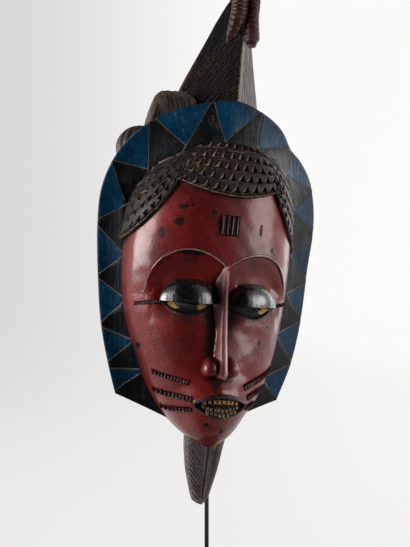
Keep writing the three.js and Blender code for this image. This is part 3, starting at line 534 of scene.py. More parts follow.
def head():
    """The head from the chin to behind the crown: face and hair, with a flat back to be hollowed out."""
    columns = head_columns()
    lines = [  # each with the number of rings up to the next one
        (level(CHIN_Z), 8), (level(-126), 13), (level(-110), 32), (level(-80), 20), (level(-60), 17),
        (level(EYE_Z - 10), 12), (level(EYE_Z - 0.15), 1), (level(EYE_Z + 0.15), 24),
        (above(brow_height, -1.3), 5), (above(brow_height, 2.6), 28),
        (above(hairline_height, -0.25), 1), (above(hairline_height, 0.25), 62),
        (crown_height, 10), (level(HEAD_TOP_Z), 0),
    ]
    first_hair, last = 11, len(lines) - 1
    solved = [solve_height(line, columns) for line, _ in lines]
    rings, finish = [], []
    for band in range(last):
        steps = lines[band][1]
        for t in hair_rings() if band == first_hair else np.arange(steps) / steps:
            eased = math.sin(0.5 * math.pi * t) if band == last - 1 else t
            z = solved[band] + (solved[band + 1] - solved[band]) * eased
            if band < first_hair:
                rings.append(face_surface(columns, z))
            else:
                rings.append(hair_surface(columns, z, np.full_like(columns, band - first_hair + t)))
            on_face = band < first_hair - 1
            x = head_point(columns, z)[:, 0]
            finish.append(face_finish(x, z) if on_face else np.full(len(columns), SLOT["hair_dark"]))
    rings.append(hair_surface(columns, solved[-1], np.full_like(columns, 2.0)))
    closed = []
    for ring in rings:
        right, left = ring[-1], ring[0]
        chin = smoothstep(-60, -125, np.array([right[2], left[2]]))
        rim = BACK_RIM_Y + (CHIN_RIM_Y - BACK_RIM_Y) * chin
        back = np.array([[right[0] * 0.97, rim[0], right[2]], [left[0] * 0.97, rim[1], left[2]]])
        closed.append(np.concatenate([ring, back]))
    names = [np.concatenate([row, np.full(2, SLOT["hollow_wood"])]) for row in finish]
    return ring_piece(closed, "hollow_wood", "head", names)


def face_finish(x, z):
    """The paint of each place on the face: lids, slits and mouth are their own finishes."""
    finish = np.full(len(x), SLOT["red_paint"])
    across, up, lens = eye_place(x, z)
    below = EYE_Z - z
    finish[(z >= EYE_Z) & (on_lid(across, up) > 0)] = SLOT["lid_black"]
    finish[(below > 0.05) & (below < lens + 2.0) & (np.abs(across) < 1.03)] = SLOT["mouth_black"]
    across, opening, thick = mouth_place(x)
    finish[(np.abs(across) < 1.04) & (np.abs(z - MOUTH_Z) < opening + thick)] = SLOT["mouth_black"]
    return finish


def curve_points(points, places):
    """A smooth centripetal curve through the points, at the given places from 0 to 1 along it."""
    pts = np.array(points, float)
    pts = np.vstack([2 * pts[0] - pts[1], pts, 2 * pts[-1] - pts[-2]])
    spans = len(points) - 1
    out = []
    for t in places:
        at = min(max(t, 0), 1) * spans
        i = min(int(at), spans - 1)
        f = at - i
        p0, p1, p2, p3 = pts[i:i + 4]
        pairs = ((p0, p1), (p1, p2), (p2, p3))
        d0, d1, d2 = (max(1e-6, np.linalg.norm(b - a) ** 0.5) for a, b in pairs)
        m1 = (p1 - p0) / d0 - (p2 - p0) / (d0 + d1) + (p2 - p1) / d1
        m2 = (p2 - p1) / d1 - (p3 - p1) / (d1 + d2) + (p3 - p2) / d2
        m1, m2 = m1 * d1, m2 * d1
        a, b = 2 * p1 - 2 * p2 + m1 + m2, -3 * p1 + 3 * p2 - 2 * m1 - m2
        out.append(((a * f + b) * f + m1) * f + p1)
    return np.array(out)


def place_on_curve(points, x, z):
    """The parameter 0..1 of the place on the curve that lies nearest to x, z."""
    places = np.linspace(0, 1, 1201)
    fine = curve_points(points, places)
    return places[np.argmin((fine[:, 0] - x) ** 2 + (fine[:, 2] - z) ** 2)]


def collar_rows():
    """Rows over the collar: place on its outer and on its inner rim, paint, and whether it is a cut line."""
    edges = []
    for low, apex, high in COLLAR_TRIANGLES:
        tip = place_on_curve(COLLAR_INNER, *apex)
        edges.append((place_on_curve(COLLAR_OUTER, *low), tip - 0.003, "collar_blue"))
        edges.append((place_on_curve(COLLAR_OUTER, *high), tip + 0.003, "collar_black"))
    line = 0.0009
    paint = "collar_black"
    rows = [(0.0, 0.0, paint, False)]
    rim_from, root_from = 0.0, 0.0
    for rim, root, next_paint in edges + [(1.0, 1.0, None)]:
        steps = max(3, int(COLLAR_RINGS * max(rim - rim_from, root - root_from)))
        for k in range(1, steps):
            t = k / steps
            rows.append((rim_from + (rim - rim_from) * t, root_from + (root - root_from) * t, paint, False))
        if next_paint:
            rows += [(rim - line, root - line, paint, False), (rim, root, "incised_pale", True),
                     (rim + line, root + line, "incised_pale", False)]
            rim_from, root_from = rim + line, root + line
            paint = next_paint
    return rows + [(1.0, 1.0, paint, False)]


def collar():
    """A flat band round the head, painted in triangles that stand on its outer rim."""
    rows = collar_rows()
    rims = curve_points(COLLAR_OUTER, [row[0] for row in rows])
    roots = curve_points(COLLAR_INNER, [row[1] for row in rows])
    across_steps = np.array([0, 0.006, 0.03, 0.08, 0.16, 0.27, 0.4, 0.55, 0.7, 0.85, 1.0])
    thick = (0, COLLAR_THICKNESS, 0)
    rings, finish = [], []
    for index, (rim, root) in enumerate(zip(rims, roots)):
        across = root - rim
        width = np.linalg.norm(across)
        across /= width
        points = []
        for t in across_steps:
            dish = 1.3 * math.sin(math.pi * min(1, t)) ** 0.8
            rounding = 0.9 * math.exp(-t * width / 0.6)
            worn = 0.25 * math.sin(index * 0.37) * math.exp(-t * width / 1.5)
            cut = 0.6 if rows[index][3] and 0.02 < t < 0.99 else 0.0
            points.append(rim + across * width * t + (0, dish + rounding + worn + cut, 0))
        buried = root + across * COLLAR_BURIED
        points += [buried, buried + thick, root + thick, rim + across * 1.2 + thick,
                   rim + (0, COLLAR_THICKNESS - 1.0, 0)]
        rings.append(np.array(points))
        if index < len(rows) - 1:
            names = np.full(len(points), SLOT["collar_rim"])
            names[1:len(across_steps)] = SLOT[rows[index + 1][2]]
            names[len(across_steps) + 1:len(points) - 2] = SLOT["hollow_wood"]
            finish.append(names)
    return ring_piece(rings, "collar_rim", "collar", finish)


def crest_width(side, z):
    """The crest's half width at a height: side 1 is the left, 2 the right."""
    heights, values = CREST[:, 0], CREST[:, side]
    return smooth_curve(heights, values, np.gradient(values, heights), z)


def crest_face(u, z):
    """A place on one of the crest's two front faces: u runs from -1 at the left edge over the ridge to 1."""
    t = (z - CREST[0, 0]) / (CREST[-1, 0] - CREST[0, 0])
    back = CREST_BACK_Y - CREST_HOOK * t ** 4
    ridge = CREST_RIDGE_Y - 6 * smoothstep(0.55, 1, t)
    a = np.abs(u)
    x = np.where(u < 0, crest_width(1, z), crest_width(2, z)) * u
    return np.stack([x, ridge + (back - ridge) * (0.78 * a + 0.22 * a ** 2), z + 0 * x], axis=-1)


def crest():
    """A tall leaf on the crown: two broad faces that meet in a sharp upright ridge."""
    rings = []
    for z in np.linspace(CREST[0, 0], CREST[-1, 0], CREST_RINGS):
        front = crest_face(np.linspace(-1, 1, CREST_COLUMNS), z)
        left, right, back = front[0, 0], front[-1, 0], front[0, 1]
        rings.append(np.vstack([front, [
            (right * 0.93, back + 4.5, z), (right * 0.6, back + 8, z), (0, back + 9, z),
            (left * 0.6, back + 8, z), (left * 0.93, back + 4.5, z),
        ]]))
    # The left face takes the near-black crest stain and the right face the grey one: partly painted shade on
    # the left face and painted light on the right one
    names = np.full((CREST_RINGS - 1, len(rings[0])), SLOT["crest_dark"])
    names[:, CREST_COLUMNS // 2:CREST_COLUMNS - 1] = SLOT["crest_grey"]
    return ring_piece(rings, "crest_dark", "crest", names)


def unit(vectors):
    """The vectors at length 1."""
    return vectors / np.linalg.norm(vectors, axis=-1, keepdims=True)


def grooves(paths, name):
    """V-shaped grooves: each path is a surface, its two parameters along it, width, depth and finish."""
    shell = Shell()
    step, lift = 0.05, 0.5
    for surface, first, second, width, depth, finish in paths:
        place = surface(first, second)
        side = surface(first + step / 20, second) - place
        up = surface(first, second + step) - place
        out = unit(np.cross(side, up))
        out *= np.where(out[:, 1:2] > 0, -1, 1)
        across = unit(np.cross(np.gradient(place, axis=0), out))
        end = np.linspace(-1, 1, len(place))[:, None]
        taper = np.clip((1 - np.abs(end)) * 4, 0.15, 1)
        half = 0.5 * width * taper * (depth * taper + lift) / (depth * taper)
        half = np.minimum(half, 1.6 * width)
        top = place + out * lift
        rings = np.stack([top - across * half, top + across * half, place - out * depth * taper], axis=1)
        shell.rings(rings, finish)
    return shell.to_object(name)


def crest_lines(draw):
    """Close lines that climb over the left face, and thinner upright ones on the right face."""
    paths = []
    for start in np.arange(112, 207, CREST_PITCH):
        x = -np.arange(1.2, 44, 2.2)
        z = start + draw.uniform(-0.35, 0.35) + 1.58 * x + 0.4 * np.sin(x * 0.3 + start)
        u = x / crest_width(1, z)
        kept = (u > -0.86 + draw.uniform(-0.05, 0.03)) & (z > 108)
        if kept.sum() > 2:
            paths.append((crest_face, u[kept], z[kept], *CREST_CUT, "crest_dark"))
            paths.append((crest_face, u[kept], z[kept] + 0.5 * CREST_PITCH, *CREST_PALE, "crest_line"))
    for place in np.arange(0.12, 0.95, 0.075):
        z = np.arange(112, 205 - 40 * abs(place - 0.4), 4)
        u = place + 0.012 * np.sin(z * 0.31 + place * 40) + 0.008 * np.sin(z * 0.83)
        paths.append((crest_face, u, z, *CREST_UPRIGHT, "crest_dark"))
    return grooves(paths, "crest lines")


def strand(path, steps, sides, radius_at, name):
    """A round strand along a path: radius_at gives its radius for each place and angle."""
    centres = curve_points(path, np.linspace(0, 1, steps + 1))
    angles = 2 * np.pi * np.arange(sides) / sides
    rings = []
    for i, centre in enumerate(centres):
        along = unit(centres[min(i + 1, steps)] - centres[max(i - 1, 0)])
        side = unit(np.array([1.0, 0, 0]) - along[0] * along)
        front = np.cross(side, along)
        radii = np.array([radius_at(i / steps, angle) for angle in angles])
        aside, forward = np.outer(radii * np.cos(angles), side), np.outer(radii * np.sin(angles), front)
        rings.append(centre + aside + forward)
    return ring_piece(rings, "plait_brown", name)


def plait(path, radius, taper, name, lean):
    """A hooked plait with close ribs that lean to one side."""
    def radius_at(t, angle):
        wave = (t * PLAIT_RIBS + lean * math.sin(angle) + lean * math.cos(angle)) % 1.0
        rib = abs(math.sin(math.pi * wave)) ** 0.5
        return (radius - 0.75 + 0.8 * rib) * taper(t)
    return strand(path, PLAIT_RIBS * 6, 24, radius_at, name)


def plaits():
    """The two plaits that hook over the crest's top, and the plain strand between them."""
    def pointed(t):
        return 1 - 0.55 * float(smoothstep(0.8, 1, t)) - 0.35 * float(smoothstep(0.93, 1, t))

    def blunt(t):
        return (1 + 0.12 * float(smoothstep(0.7, 0.9, t))) * (1 - 0.5 * float(smoothstep(0.93, 1, t)))
    return [
        plait(PLAIT_LEFT, 6.1, pointed, "left plait", 0.3),
        plait(PLAIT_RIGHT, 5.6, blunt, "right plait", -0.3),
        strand(PLAIT_BETWEEN, 40, 20, lambda t, angle: 5.2, "between plaits"),
    ]


def round_lock(centre, radii, name):
    """A rounded lock of hair with upright flutes that twist a little."""
    rows, sides, flutes = 31, 90, 15
    a = 2 * np.pi * np.arange(sides) / sides
    rings = []
    for i in range(rows):
        angle = math.pi * (i + 0.5) / rows - math.pi / 2
        scale = 1.02 - 0.06 * np.abs(np.cos(0.5 * a * flutes + 1.2 * angle)) ** 6
        x = radii[0] * math.cos(angle) * np.cos(a) * scale
        y = radii[1] * math.cos(angle) * np.sin(a) * scale
        rings.append(np.stack([x, y, np.full(sides, radii[2] * math.sin(angle))], axis=1) + centre)
    return ring_piece(rings, "crest_grey", name)


def tall_lock():
    """A block beside the crest with a sloping shoulder and rounded ends."""
    outline = np.array(TALL_LOCK, float)
    corners = zip(outline, np.roll(outline, -1, axis=0))
    dense = np.vstack([a + (b - a) * t for a, b in corners for t in np.arange(12)[:, None] / 12])
    for _ in range(10):
        dense = 0.5 * dense + 0.25 * (np.roll(dense, 1, axis=0) + np.roll(dense, -1, axis=0))
    flutes = 1 - 0.022 * np.abs(np.cos(np.pi * 18 * np.arange(len(dense)) / len(dense))) ** 6
    middle_x, middle_z = TALL_LOCK_MIDDLE
    rings = []
    for t in np.linspace(-1, 1, 21):
        swell = ((1 - abs(t) ** 5) ** 0.25 * 0.16 + 0.84) * flutes
        y = np.full(len(dense), TALL_LOCK_Y + TALL_LOCK_HALF * t)
        x, z = middle_x + (dense[:, 0] - middle_x) * swell, middle_z + (dense[:, 1] - middle_z) * swell
        rings.append(np.stack([x, y, z], axis=1))
    return ring_piece(rings, "crest_grey", "tall lock")


def beard_face(u, z):
    """A place on the beard's two front faces: u runs from -1 at the left edge over the ridge to 1."""
    left, right, ridge, side = (np.interp(z, BEARD[:, 0], BEARD[:, k]) for k in (1, 2, 3, 4))
    a = np.abs(u)
    reach = np.where(u < 0, left + BEARD_RIDGE_X, right - BEARD_RIDGE_X)
    x = BEARD_RIDGE_X + np.sign(u) * reach * np.sin(a * math.pi / 2) ** 0.9
    return np.stack([x, ridge + (side - ridge) * (0.45 * a + 0.55 * a * a), z + 0 * x], axis=-1)


def beard():
    """A narrow beard under the chin that tapers to a blunt tip, with a sharp ridge down its front."""
    tip, above_tip, top = BEARD[[0, 1, -1], 0]
    heights = np.concatenate([np.linspace(tip, above_tip, 6), np.linspace(above_tip, top, 44)[1:]])
    rings = []
    for z in heights:
        front = beard_face(np.linspace(-1, 1, 21), z)
        left, right = front[0, 0], front[-1, 0]
        rings.append(np.vstack([front, [
            (right * 0.94, BEARD_BACK_Y - 3, z), (right * 0.7, BEARD_BACK_Y, z), (0, BEARD_BACK_Y + 0.5, z),
            (left * 0.7, BEARD_BACK_Y, z), (left * 0.94, BEARD_BACK_Y - 3, z),
        ]]))
    return ring_piece(rings, "beard_dark", "beard")


def beard_lines(draw):
    """Close slanting lines on both faces of the beard, and one line beside its ridge."""
    paths = []
    a = np.linspace(0.1, 0.94, 9)
    for side, slope in ((-1, -1.7), (1, 1.25)):
        for start in np.arange(-212, -108, BEARD_PITCH * math.hypot(1, slope)):
            reach = np.interp(start, BEARD[:, 0], BEARD[:, 1]) + 3
            z = start + draw.uniform(-0.3, 0.3) + slope * side * reach * np.sin(a * math.pi / 2)
            kept = (z > -181.5) & (z < -126)
            if kept.sum() > 4:
                paths.append((beard_face, side * a[kept], z[kept], *BEARD_CUT, "scar_black"))
                paths.append((beard_face, side * a[kept], z[kept] + 1.3, *BEARD_PALE, "crest_line"))
    z = np.arange(-182, -128, 2.0)
    paths.append((beard_face, np.full(len(z), -0.045), z, *BEARD_MIDDLE, "scar_black"))
    return grooves(paths, "beard lines")


def lock_face(x, z):
    """A place on the tall lock's flat front."""
    return np.stack([x, np.full(len(x), TALL_LOCK_Y - TALL_LOCK_HALF), z], axis=-1)


def lock_lines(draw):
    """The line over the tall lock's shoulder, and hatching on both sides of it."""
    t = np.linspace(0, 1, 9)
    paths = [(lock_face, -59 + 16 * t, 140.5 - 18 * t, *SHOULDER_CUT, "hair_worn")]
    for i in range(7):
        low_x, high_x, low_z, high_z = -66 + 2.9 * i, -60.5 + 2.1 * i, 104, 133 - 3.2 * i
        x, z = low_x + (high_x - low_x) * t, low_z + (high_z - low_z) * t
        paths.append((lock_face, x, z, *LEFT_CUT, "crest_dark"))
    for i in range(8):
        x = -52 + 3.4 * i + draw.uniform(-0.6, 0.6) + 4.5 * t
        paths.append((lock_face, x, 139 - 13 * t + draw.uniform(-1, 1), *RIGHT_CUT, "crest_dark"))
    return grooves(paths, "lock lines")


def hollow():
    """What is taken out behind the face, with the waves that the gouge left."""
    angle = np.linspace(-math.pi / 2, math.pi / 2, 41)
    q = np.sign(angle) * np.abs(np.sin(angle)) ** (2 / ROUNDNESS)
    rings = []
    for z in np.linspace(HOLLOW_FLOOR, HOLLOW_CEILING, 40):
        front = head_point(q, np.full_like(q, z), WALL_SIDE, WALL_FRONT)
        front[:, 1] += 0.5 * np.sin(q * 23 + z * 0.31) * np.sin(z * 0.22 + q * 4) * (1 - np.abs(q) ** 6)
        rings.append(np.vstack([front, [front[-1, 0], HOLLOW_BACK, z], [front[0, 0], HOLLOW_BACK, z]]))
    return ring_piece(rings, "hollow_wood", "hollow")


def surface_frame(x, z, on_hair=False):
    """A place on the carving with the directions across, up and out of the wood there."""
    x, z = np.float64(x), np.float64(z)
    q = np.clip(x / half_width(x, z), -0.97, 0.97)
    out = head_normal(q, z)
    if on_hair:
        point = head_point(q, z) + out * HAIR_RISE
    else:
        point = face_surface(np.atleast_1d(q), np.atleast_1d(z))[0]
    across = np.cross([0, 0, 1.0], out)
    across /= -np.linalg.norm(across)
    across = across if across[0] > 0 else -across
    up = np.cross(across, out)
    up = up if up[2] > 0 else -up
    return point, across, up, out


def chips(places, name, finish, worn):
    """Three-sided chips: the mouth of each is a triangle, and its deepest point lies near one corner.

    Each place is x, z, half width, height, turn, depth and whether it is on the hair.
    """
    shell = Shell()
    lift = 0.8
    for x, z, half, height, turn, depth, on_hair in places:
        point, across, up, out = surface_frame(x, z, on_hair)
        deep_u, deep_v = 0.02 * half, -0.14 * height

        def turned(u, v):
            a = u * math.cos(turn) - v * math.sin(turn)
            b = u * math.sin(turn) + v * math.cos(turn)
            return point + a * across + b * up

        def corner(u, v):
            widen = (depth + lift) / depth
            return turned(deep_u + (u - deep_u) * widen, deep_v + (v - deep_v) * widen) + lift * out
        low, top = -0.45 * height, 0.55 * height
        mouth = [corner(-half, low), corner(half, low), corner(0.12 * half, top)]
        shell.add(np.array(mouth + [turned(deep_u, deep_v) - depth * out]),
                  ((0, 2, 1), (0, 1, 3), (1, 2, 3), (2, 0, 3)),
                  [SLOT[facet] for facet in (finish, finish, finish, worn)])
    return shell.to_object(name)


def chip_place(x, row, up, half, height, turn, depth):
    """A chip in one of the hair's rows, as a list of one place, or of none where the rows run together."""
    low, high = float(hairline_height(x)), float(crown_height(x))
    pitch = (1 - FIRST_ROW) * (high - low) / CHIP_ROWS
    z = low + (high - low) * row_start(row) + up * pitch
    return [(x, z, half, min(height, 0.8 * pitch), turn, depth, True)] if pitch > 3.6 else []


def fringe_places(draw):
    """Close rows of chips that follow the fringe."""
    places = []
    for row in range(CHIP_ROWS):
        low_end, high_end = -(HAIR_LEFT[0] - 3.0 - 1.6 * row), HAIR_RIGHT[0] - 2.0 - 1.6 * row
        spacing = (high_end - low_end) / (FRINGE_CHIPS - 0.5)
        for i in range(FRINGE_CHIPS):
            x = low_end + spacing * (i + 0.25 + 0.5 * (row % 2)) + draw.uniform(-0.25, 0.25)
            half, height = 0.47 * spacing * draw.uniform(0.92, 1.04), 8.0 * draw.uniform(0.9, 1.04)
            places += chip_place(x, row, 0.5, half, height, draw.uniform(-0.08, 0.08), CHIP_DEPTHS[0])
    return places


def temple_places(draw):
    """Slanting rows of chips on the temples, and the rough corners between them and the fringe."""
    places = []
    for side, (corner, _, rim) in ((-1, HAIR_LEFT), (1, HAIR_RIGHT)):
        for row in range(CHIP_ROWS):
            for x in np.arange(rim - 1.5 - 2.1 * (row % 2), corner + 1.0, -TEMPLE_PITCH):
                half, height = 2.6 * draw.uniform(0.85, 1.08), 7.4 * draw.uniform(0.88, 1.04)
                turn = side * 0.4 + draw.uniform(-0.12, 0.12)
                places += chip_place(side * x, row, 0.5, half, height, turn, CHIP_DEPTHS[1])
        for _ in range(22):
            x = side * (corner + draw.uniform(-3.5, 4.5))
            row, up = int(draw.integers(0, CHIP_ROWS)), draw.uniform(0.2, 0.8)
            half, height = draw.uniform(0.8, 1.4), draw.uniform(4, 7)
            turn = side * draw.uniform(0.1, 0.6)
            places += chip_place(x, row, up, half, height, turn, CHIP_DEPTHS[2])
    return places


def along_row(start, end, count):
    """Pitch and slope of a row of scars, and a function for the place at any part of its length."""
    run, rise = end[0] - start[0], end[1] - start[1]

    def place(t):
        return start[0] + run * t, start[1] + rise * t
    return math.hypot(run, rise) / count, math.atan2(rise, run), place


def scar_places():
    """Upright nicks, close together like a seam, in each row of scars."""
    places = []
    for start, end, count in SCAR_ROWS:
        pitch, lean, place = along_row(start, end, count)
        for i in range(count):
            places.append((*place((i + 0.5) / count), 0.4 * pitch, 1.9 * pitch, lean, 1.2, False))
    return places


def scar_beads():
    """The small raised beads between the nicks of each row of scars."""
    pieces = []
    for start, end, count in SCAR_ROWS:
        pitch, lean, place = along_row(start, end, count)
        for i in range(count + 1):
            point, across, up, out = surface_frame(*place(i / count))
            along = across * math.cos(lean) + up * math.sin(lean)
            upright = up * math.cos(lean) - across * math.sin(lean)
            size = (0.62 * pitch, 1.5, 1.3 * pitch)
            pieces.append(box_piece(point, size, along, upright, out, 0.32 * pitch))
    return joined(pieces, "scar_bead", "scar beads")


def box_piece(centre, size, across, up, out, round_off):
    """Points and faces of a block with rounded edges: its size is across, out of the wood, and up."""
    work = bmesh.new()
    bmesh.ops.create_cube(work, size=1.0)
    for v in work.verts:
        local = v.co.copy()
        v.co = Vector(centre + across * local.x * size[0] + up * local.z * size[2] + out * local.y * size[1])
    bmesh.ops.bevel(work, geom=list(work.edges), offset=round_off, segments=2, affect="EDGES", profile=0.5)
    points = np.array([v.co[:] for v in work.verts])
    work.verts.index_update()
    faces = [tuple(v.index for v in f.verts) for f in work.faces]
    work.free()
    return points, faces


def joined(pieces, finish, name):
    """Blocks of one finish, as one object to be joined to the carving or cut out of it."""
    shell = Shell()
    for points, faces in pieces:
        shell.add(points, faces, [SLOT[finish]] * len(faces))
    return shell.to_object(name)


def teeth(draw, rows, finish):
    """Rows of small blocks between the lips."""
    pieces = []
    for count, z, half, sag, tall in rows:
        for i in range(count):
            x = -half + 2 * half * (i + 0.5) / count + draw.uniform(-0.2, 0.2)
            height = MOUTH_Z + z + sag * (1 - (x / half) ** 2) + draw.uniform(-0.2, 0.2)
            point, across, up, out = surface_frame(MOUTH_X + x, height)
            size = ((2 * half / count - 0.6) * draw.uniform(0.8, 1.0), 5.0, tall * draw.uniform(0.75, 1.1))
            pieces.append(box_piece(point + out * (-0.7), size, across, up, out, 0.45))
    return joined(pieces, finish, finish)


def forehead_bars():
    """The short raised bars that stand side by side over the nose."""
    pieces = []
    for i in range(BAR_COUNT):
        x = BARS_X + (i - 0.5 * (BAR_COUNT - 1)) * BAR_PITCH
        point, across, up, out = surface_frame(x, BARS_Z)
        pieces.append(box_piece(point, FOREHEAD_BAR, across, up, out, 0.8))
    return joined(pieces, "scar_bar", "forehead bars")


def eye_slots():
    """The slit under each lid goes through the wood and climbs towards the inside."""
    pieces = []
    across = np.array([1.0, 0, 0])
    up = np.array([0, -math.sin(SLOT_CLIMB), math.cos(SLOT_CLIMB)])
    out = np.array([0, math.cos(SLOT_CLIMB), math.sin(SLOT_CLIMB)])
    for side in (-1, 1):
        point = surface_frame(side * EYE_X, EYE_Z - 3)[0]
        middle = np.array([side * EYE_X, point[1], EYE_Z - 3.2])
        pieces.append(box_piece(middle, EYE_SLOT, across, up, out, 0.9))
    return joined(pieces, "mouth_black", "eye slots")


def combine(base, other, operation):
    """Joins or cuts the carving with another closed piece, and drops that piece."""
    step = base.modifiers.new("step", "BOOLEAN")
    step.operation = operation
    step.object = other
    step.solver = "MANIFOLD"
    bpy.context.view_layer.update()
    mesh = bpy.data.meshes.new_from_object(base.evaluated_get(bpy.context.evaluated_depsgraph_get()))
    base.modifiers.clear()
    old = base.data
    base.data = mesh
    bpy.data.meshes.remove(old)
    bpy.data.objects.remove(other)


def carve_mask():
    """The whole carving: its large parts are joined and hollowed out, then the fine work is made."""
    draw = np.random.default_rng(11)
    mask = head()
    locks = [tall_lock()] + [round_lock(*lock) for lock in ROUND_LOCKS]
    for piece in [collar(), crest(), *plaits(), beard(), *locks]:
        combine(mask, piece, "UNION")
    combine(mask, hollow(), "DIFFERENCE")
    raised = [
        forehead_bars(), scar_beads(),
        teeth(draw, UPPER_TEETH, "teeth"), teeth(draw, LOWER_TEETH, "teeth_grey"),
    ]
    for piece in raised:
        combine(mask, piece, "UNION")
    cuts = [
        crest_lines(draw), beard_lines(draw), lock_lines(draw),
        # The chips' walls take a near-black finish: painted shade in the cuts of the hair
        chips(fringe_places(draw), "fringe chips", "hair_pit_shade", "hair_worn"),
        chips(temple_places(draw), "temple chips", "hair_pit_shade", "hair_dark"),
        chips(scar_places(), "scar notches", "scar_black", "scar_black"), eye_slots(),
    ]
    for piece in cuts:
        combine(mask, piece, "DIFFERENCE")
    clear_crumbs(mask)
    return mask


def largest_part(faces):
    """The most faces that hang together over edges with a face on each side."""
    left, largest = set(faces), set()
    while left:
        waiting = [left.pop()]
        part = set(waiting)
        while waiting:
            closed = [edge for edge in waiting.pop().edges if len(edge.link_faces) == 2]
            near = {face for edge in closed for face in edge.link_faces} - part
            part |= near
            waiting.extend(near)
        left -= part
        if len(part) > len(largest):
            largest = part
    return largest


def clear_crumbs(obj):
    """Takes away the crumbs that crossing cuts leave loose, so that one solid carving is left."""
    work = bmesh.new()
    work.from_mesh(obj.data)
    bmesh.ops.remove_doubles(work, verts=work.verts, dist=2e-6)
    bmesh.ops.dissolve_degenerate(work, dist=2e-6, edges=work.edges)
    bmesh.ops.triangulate(work, faces=[face for face in work.faces if len(face.verts) > 3])
    kept = largest_part(work.faces)
    bmesh.ops.delete(work, geom=[face for face in work.faces if face not in kept], context="FACES")
    bmesh.ops.holes_fill(work, edges=[edge for edge in work.edges if len(edge.link_faces) == 1], sides=0)
    bmesh.ops.triangulate(work, faces=[face for face in work.faces if len(face.verts) > 3])
    work.to_mesh(obj.data)
    work.free()
    obj.data.validate()


def feed(tree, socket, value):
    """Gives an input its link, or its own value."""
    if isinstance(value, bpy.types.NodeSocket):
        tree.links.new(value, socket)
    else:
        socket.default_value = value


def node(tree, kind, settings=None, **inputs):
    """One node with its settings, and the values or links of its inputs by name."""
    made = tree.nodes.new(kind)
    for key, value in (settings or {}).items():
        setattr(made, key, value)
    for key, value in inputs.items():
        name = key.replace("_", " ")
        feed(tree, next(socket for socket in made.inputs if socket.name == name and socket.enabled), value)
    return made


def maths(tree, operation, *values, clamp=False):
    """One sum of values or links."""
    made = node(tree, "ShaderNodeMath", {"operation": operation, "use_clamp": clamp})
    for socket, value in zip(made.inputs, values):
        feed(tree, socket, value)
    return made.outputs[0]


def between(tree, value, low, high, to_low=0.0, to_high=1.0):
    """Turns the range low..high of a value smoothly into another range."""
    ends = {"From_Min": low, "From_Max": high, "To_Min": to_low, "To_Max": to_high}
    made = node(tree, "ShaderNodeMapRange", {"interpolation_type": "SMOOTHSTEP"}, Value=value, **ends)
    return made.outputs["Result"]


def noise(tree, vector, scale, detail, roughness, distortion=0.0):
    """Soft uneven patches: their number in a metre, how fine their detail goes and how rough it is."""
    shape = {"Detail": detail, "Roughness": roughness, "Distortion": distortion}
    made = node(tree, "ShaderNodeTexNoise", {"noise_dimensions": "3D"}, Vector=vector, Scale=scale, **shape)
    return made.outputs["Fac"]


def mixed(tree, mask, first, second):
    """The first colour where the mask is 0, the second where it is 1."""
    made = node(tree, "ShaderNodeMix", {"data_type": "RGBA"})
    for socket, value in zip((made.inputs[0], made.inputs[6], made.inputs[7]), (mask, first, second)):
        feed(tree, socket, value)
    return made.outputs[2]


def srgb(red, green, blue):
    """A colour given in steps of 0 to 255, as the shader wants it."""
    def linear(value):
        value /= 255
        return value / 12.92 if value <= 0.04045 else ((value + 0.055) / 1.055) ** 2.4
    return (linear(red), linear(green), linear(blue), 1.0)


def paler(colour, gain, lift=0):
    """A paler tone of a colour that is given in steps of 0 to 255."""
    return srgb(*[min(255, int(gain * step + lift)) for step in colour])


def over(tree, colour, mask, amount, tone):
    """Lays a tone over the colour where the mask is, up to the given amount."""
    return mixed(tree, maths(tree, "MULTIPLY", mask, amount), colour, srgb(*tone))


def broken_colour(group, given):
    """Soft patches of two sizes, for paint that has aged unevenly."""
    wide = noise(group, given["Vector"], given["Scale"], 5, 0.62)
    fine = noise(group, given["Vector"], maths(group, "MULTIPLY", given["Scale"], 7.0), 3, 0.6)
    both = maths(group, "MULTIPLY_ADD", fine, 0.35, maths(group, "MULTIPLY", wide, 0.65))
    low = maths(group, "SUBTRACT", 0.5, given["Contrast"])
    return between(group, both, low, maths(group, "ADD", 0.5, given["Contrast"]))


def worn_edges(group, given):
    """Where hands have rubbed the sharp edges: the raised places of the surface, broken up."""
    raised = group.nodes.new("ShaderNodeNewGeometry").outputs["Pointiness"]
    patches = maths(group, "SUBTRACT", noise(group, given["Vector"], 260.0, 4, 0.65), 0.5)
    shift = maths(group, "MULTIPLY", given["Break Up"], 0.14)
    shifted = maths(group, "MULTIPLY_ADD", patches, shift, raised)
    return between(group, shifted, 0.52, maths(group, "ADD", 0.52, given["Reach"]))


def dust_in_cuts(group, given):
    """Dust and old wax that stay in the cuts and hollows."""
    raised = group.nodes.new("ShaderNodeNewGeometry").outputs["Pointiness"]
    sunk = between(group, raised, 0.49, 0.42)
    patches = between(group, noise(group, given["Vector"], 90.0, 5, 0.7), 0.35, 0.65)
    film = between(group, noise(group, given["Vector"], 38.0, 6, 0.72), 0.5, 0.8, 0.0, 0.5)
    both = maths(group, "ADD", maths(group, "MULTIPLY", sunk, patches), film)
    return maths(group, "MULTIPLY", both, given["Amount"], clamp=True)


def drawn_out(group, given, turn, squeeze):
    """Places on the piece, squeezed along one turned direction so that a pattern is drawn out along it."""
    settings = {"Rotation": turn, "Scale": (1.0, 1.0, squeeze)}
    return node(group, "ShaderNodeMapping", Vector=given["Vector"], **settings).outputs[0]


def fine_scratches(group, given):
    """Thin random scratches and rubs, longer along one direction."""
    lines = noise(group, drawn_out(group, given, (0.3, 0.5, 0.2), 0.09), given["Scale"], 3, 0.55, 0.4)
    edge = maths(group, "ABSOLUTE", maths(group, "SUBTRACT", lines, 0.5))
    thin = between(group, edge, 0.012, 0.0)
    patches = noise(group, given["Vector"], 46.0, 3, 0.6)
    where = between(group, patches, maths(group, "SUBTRACT", 0.72, given["Cover"]), 0.72)
    return maths(group, "MULTIPLY", thin, where)


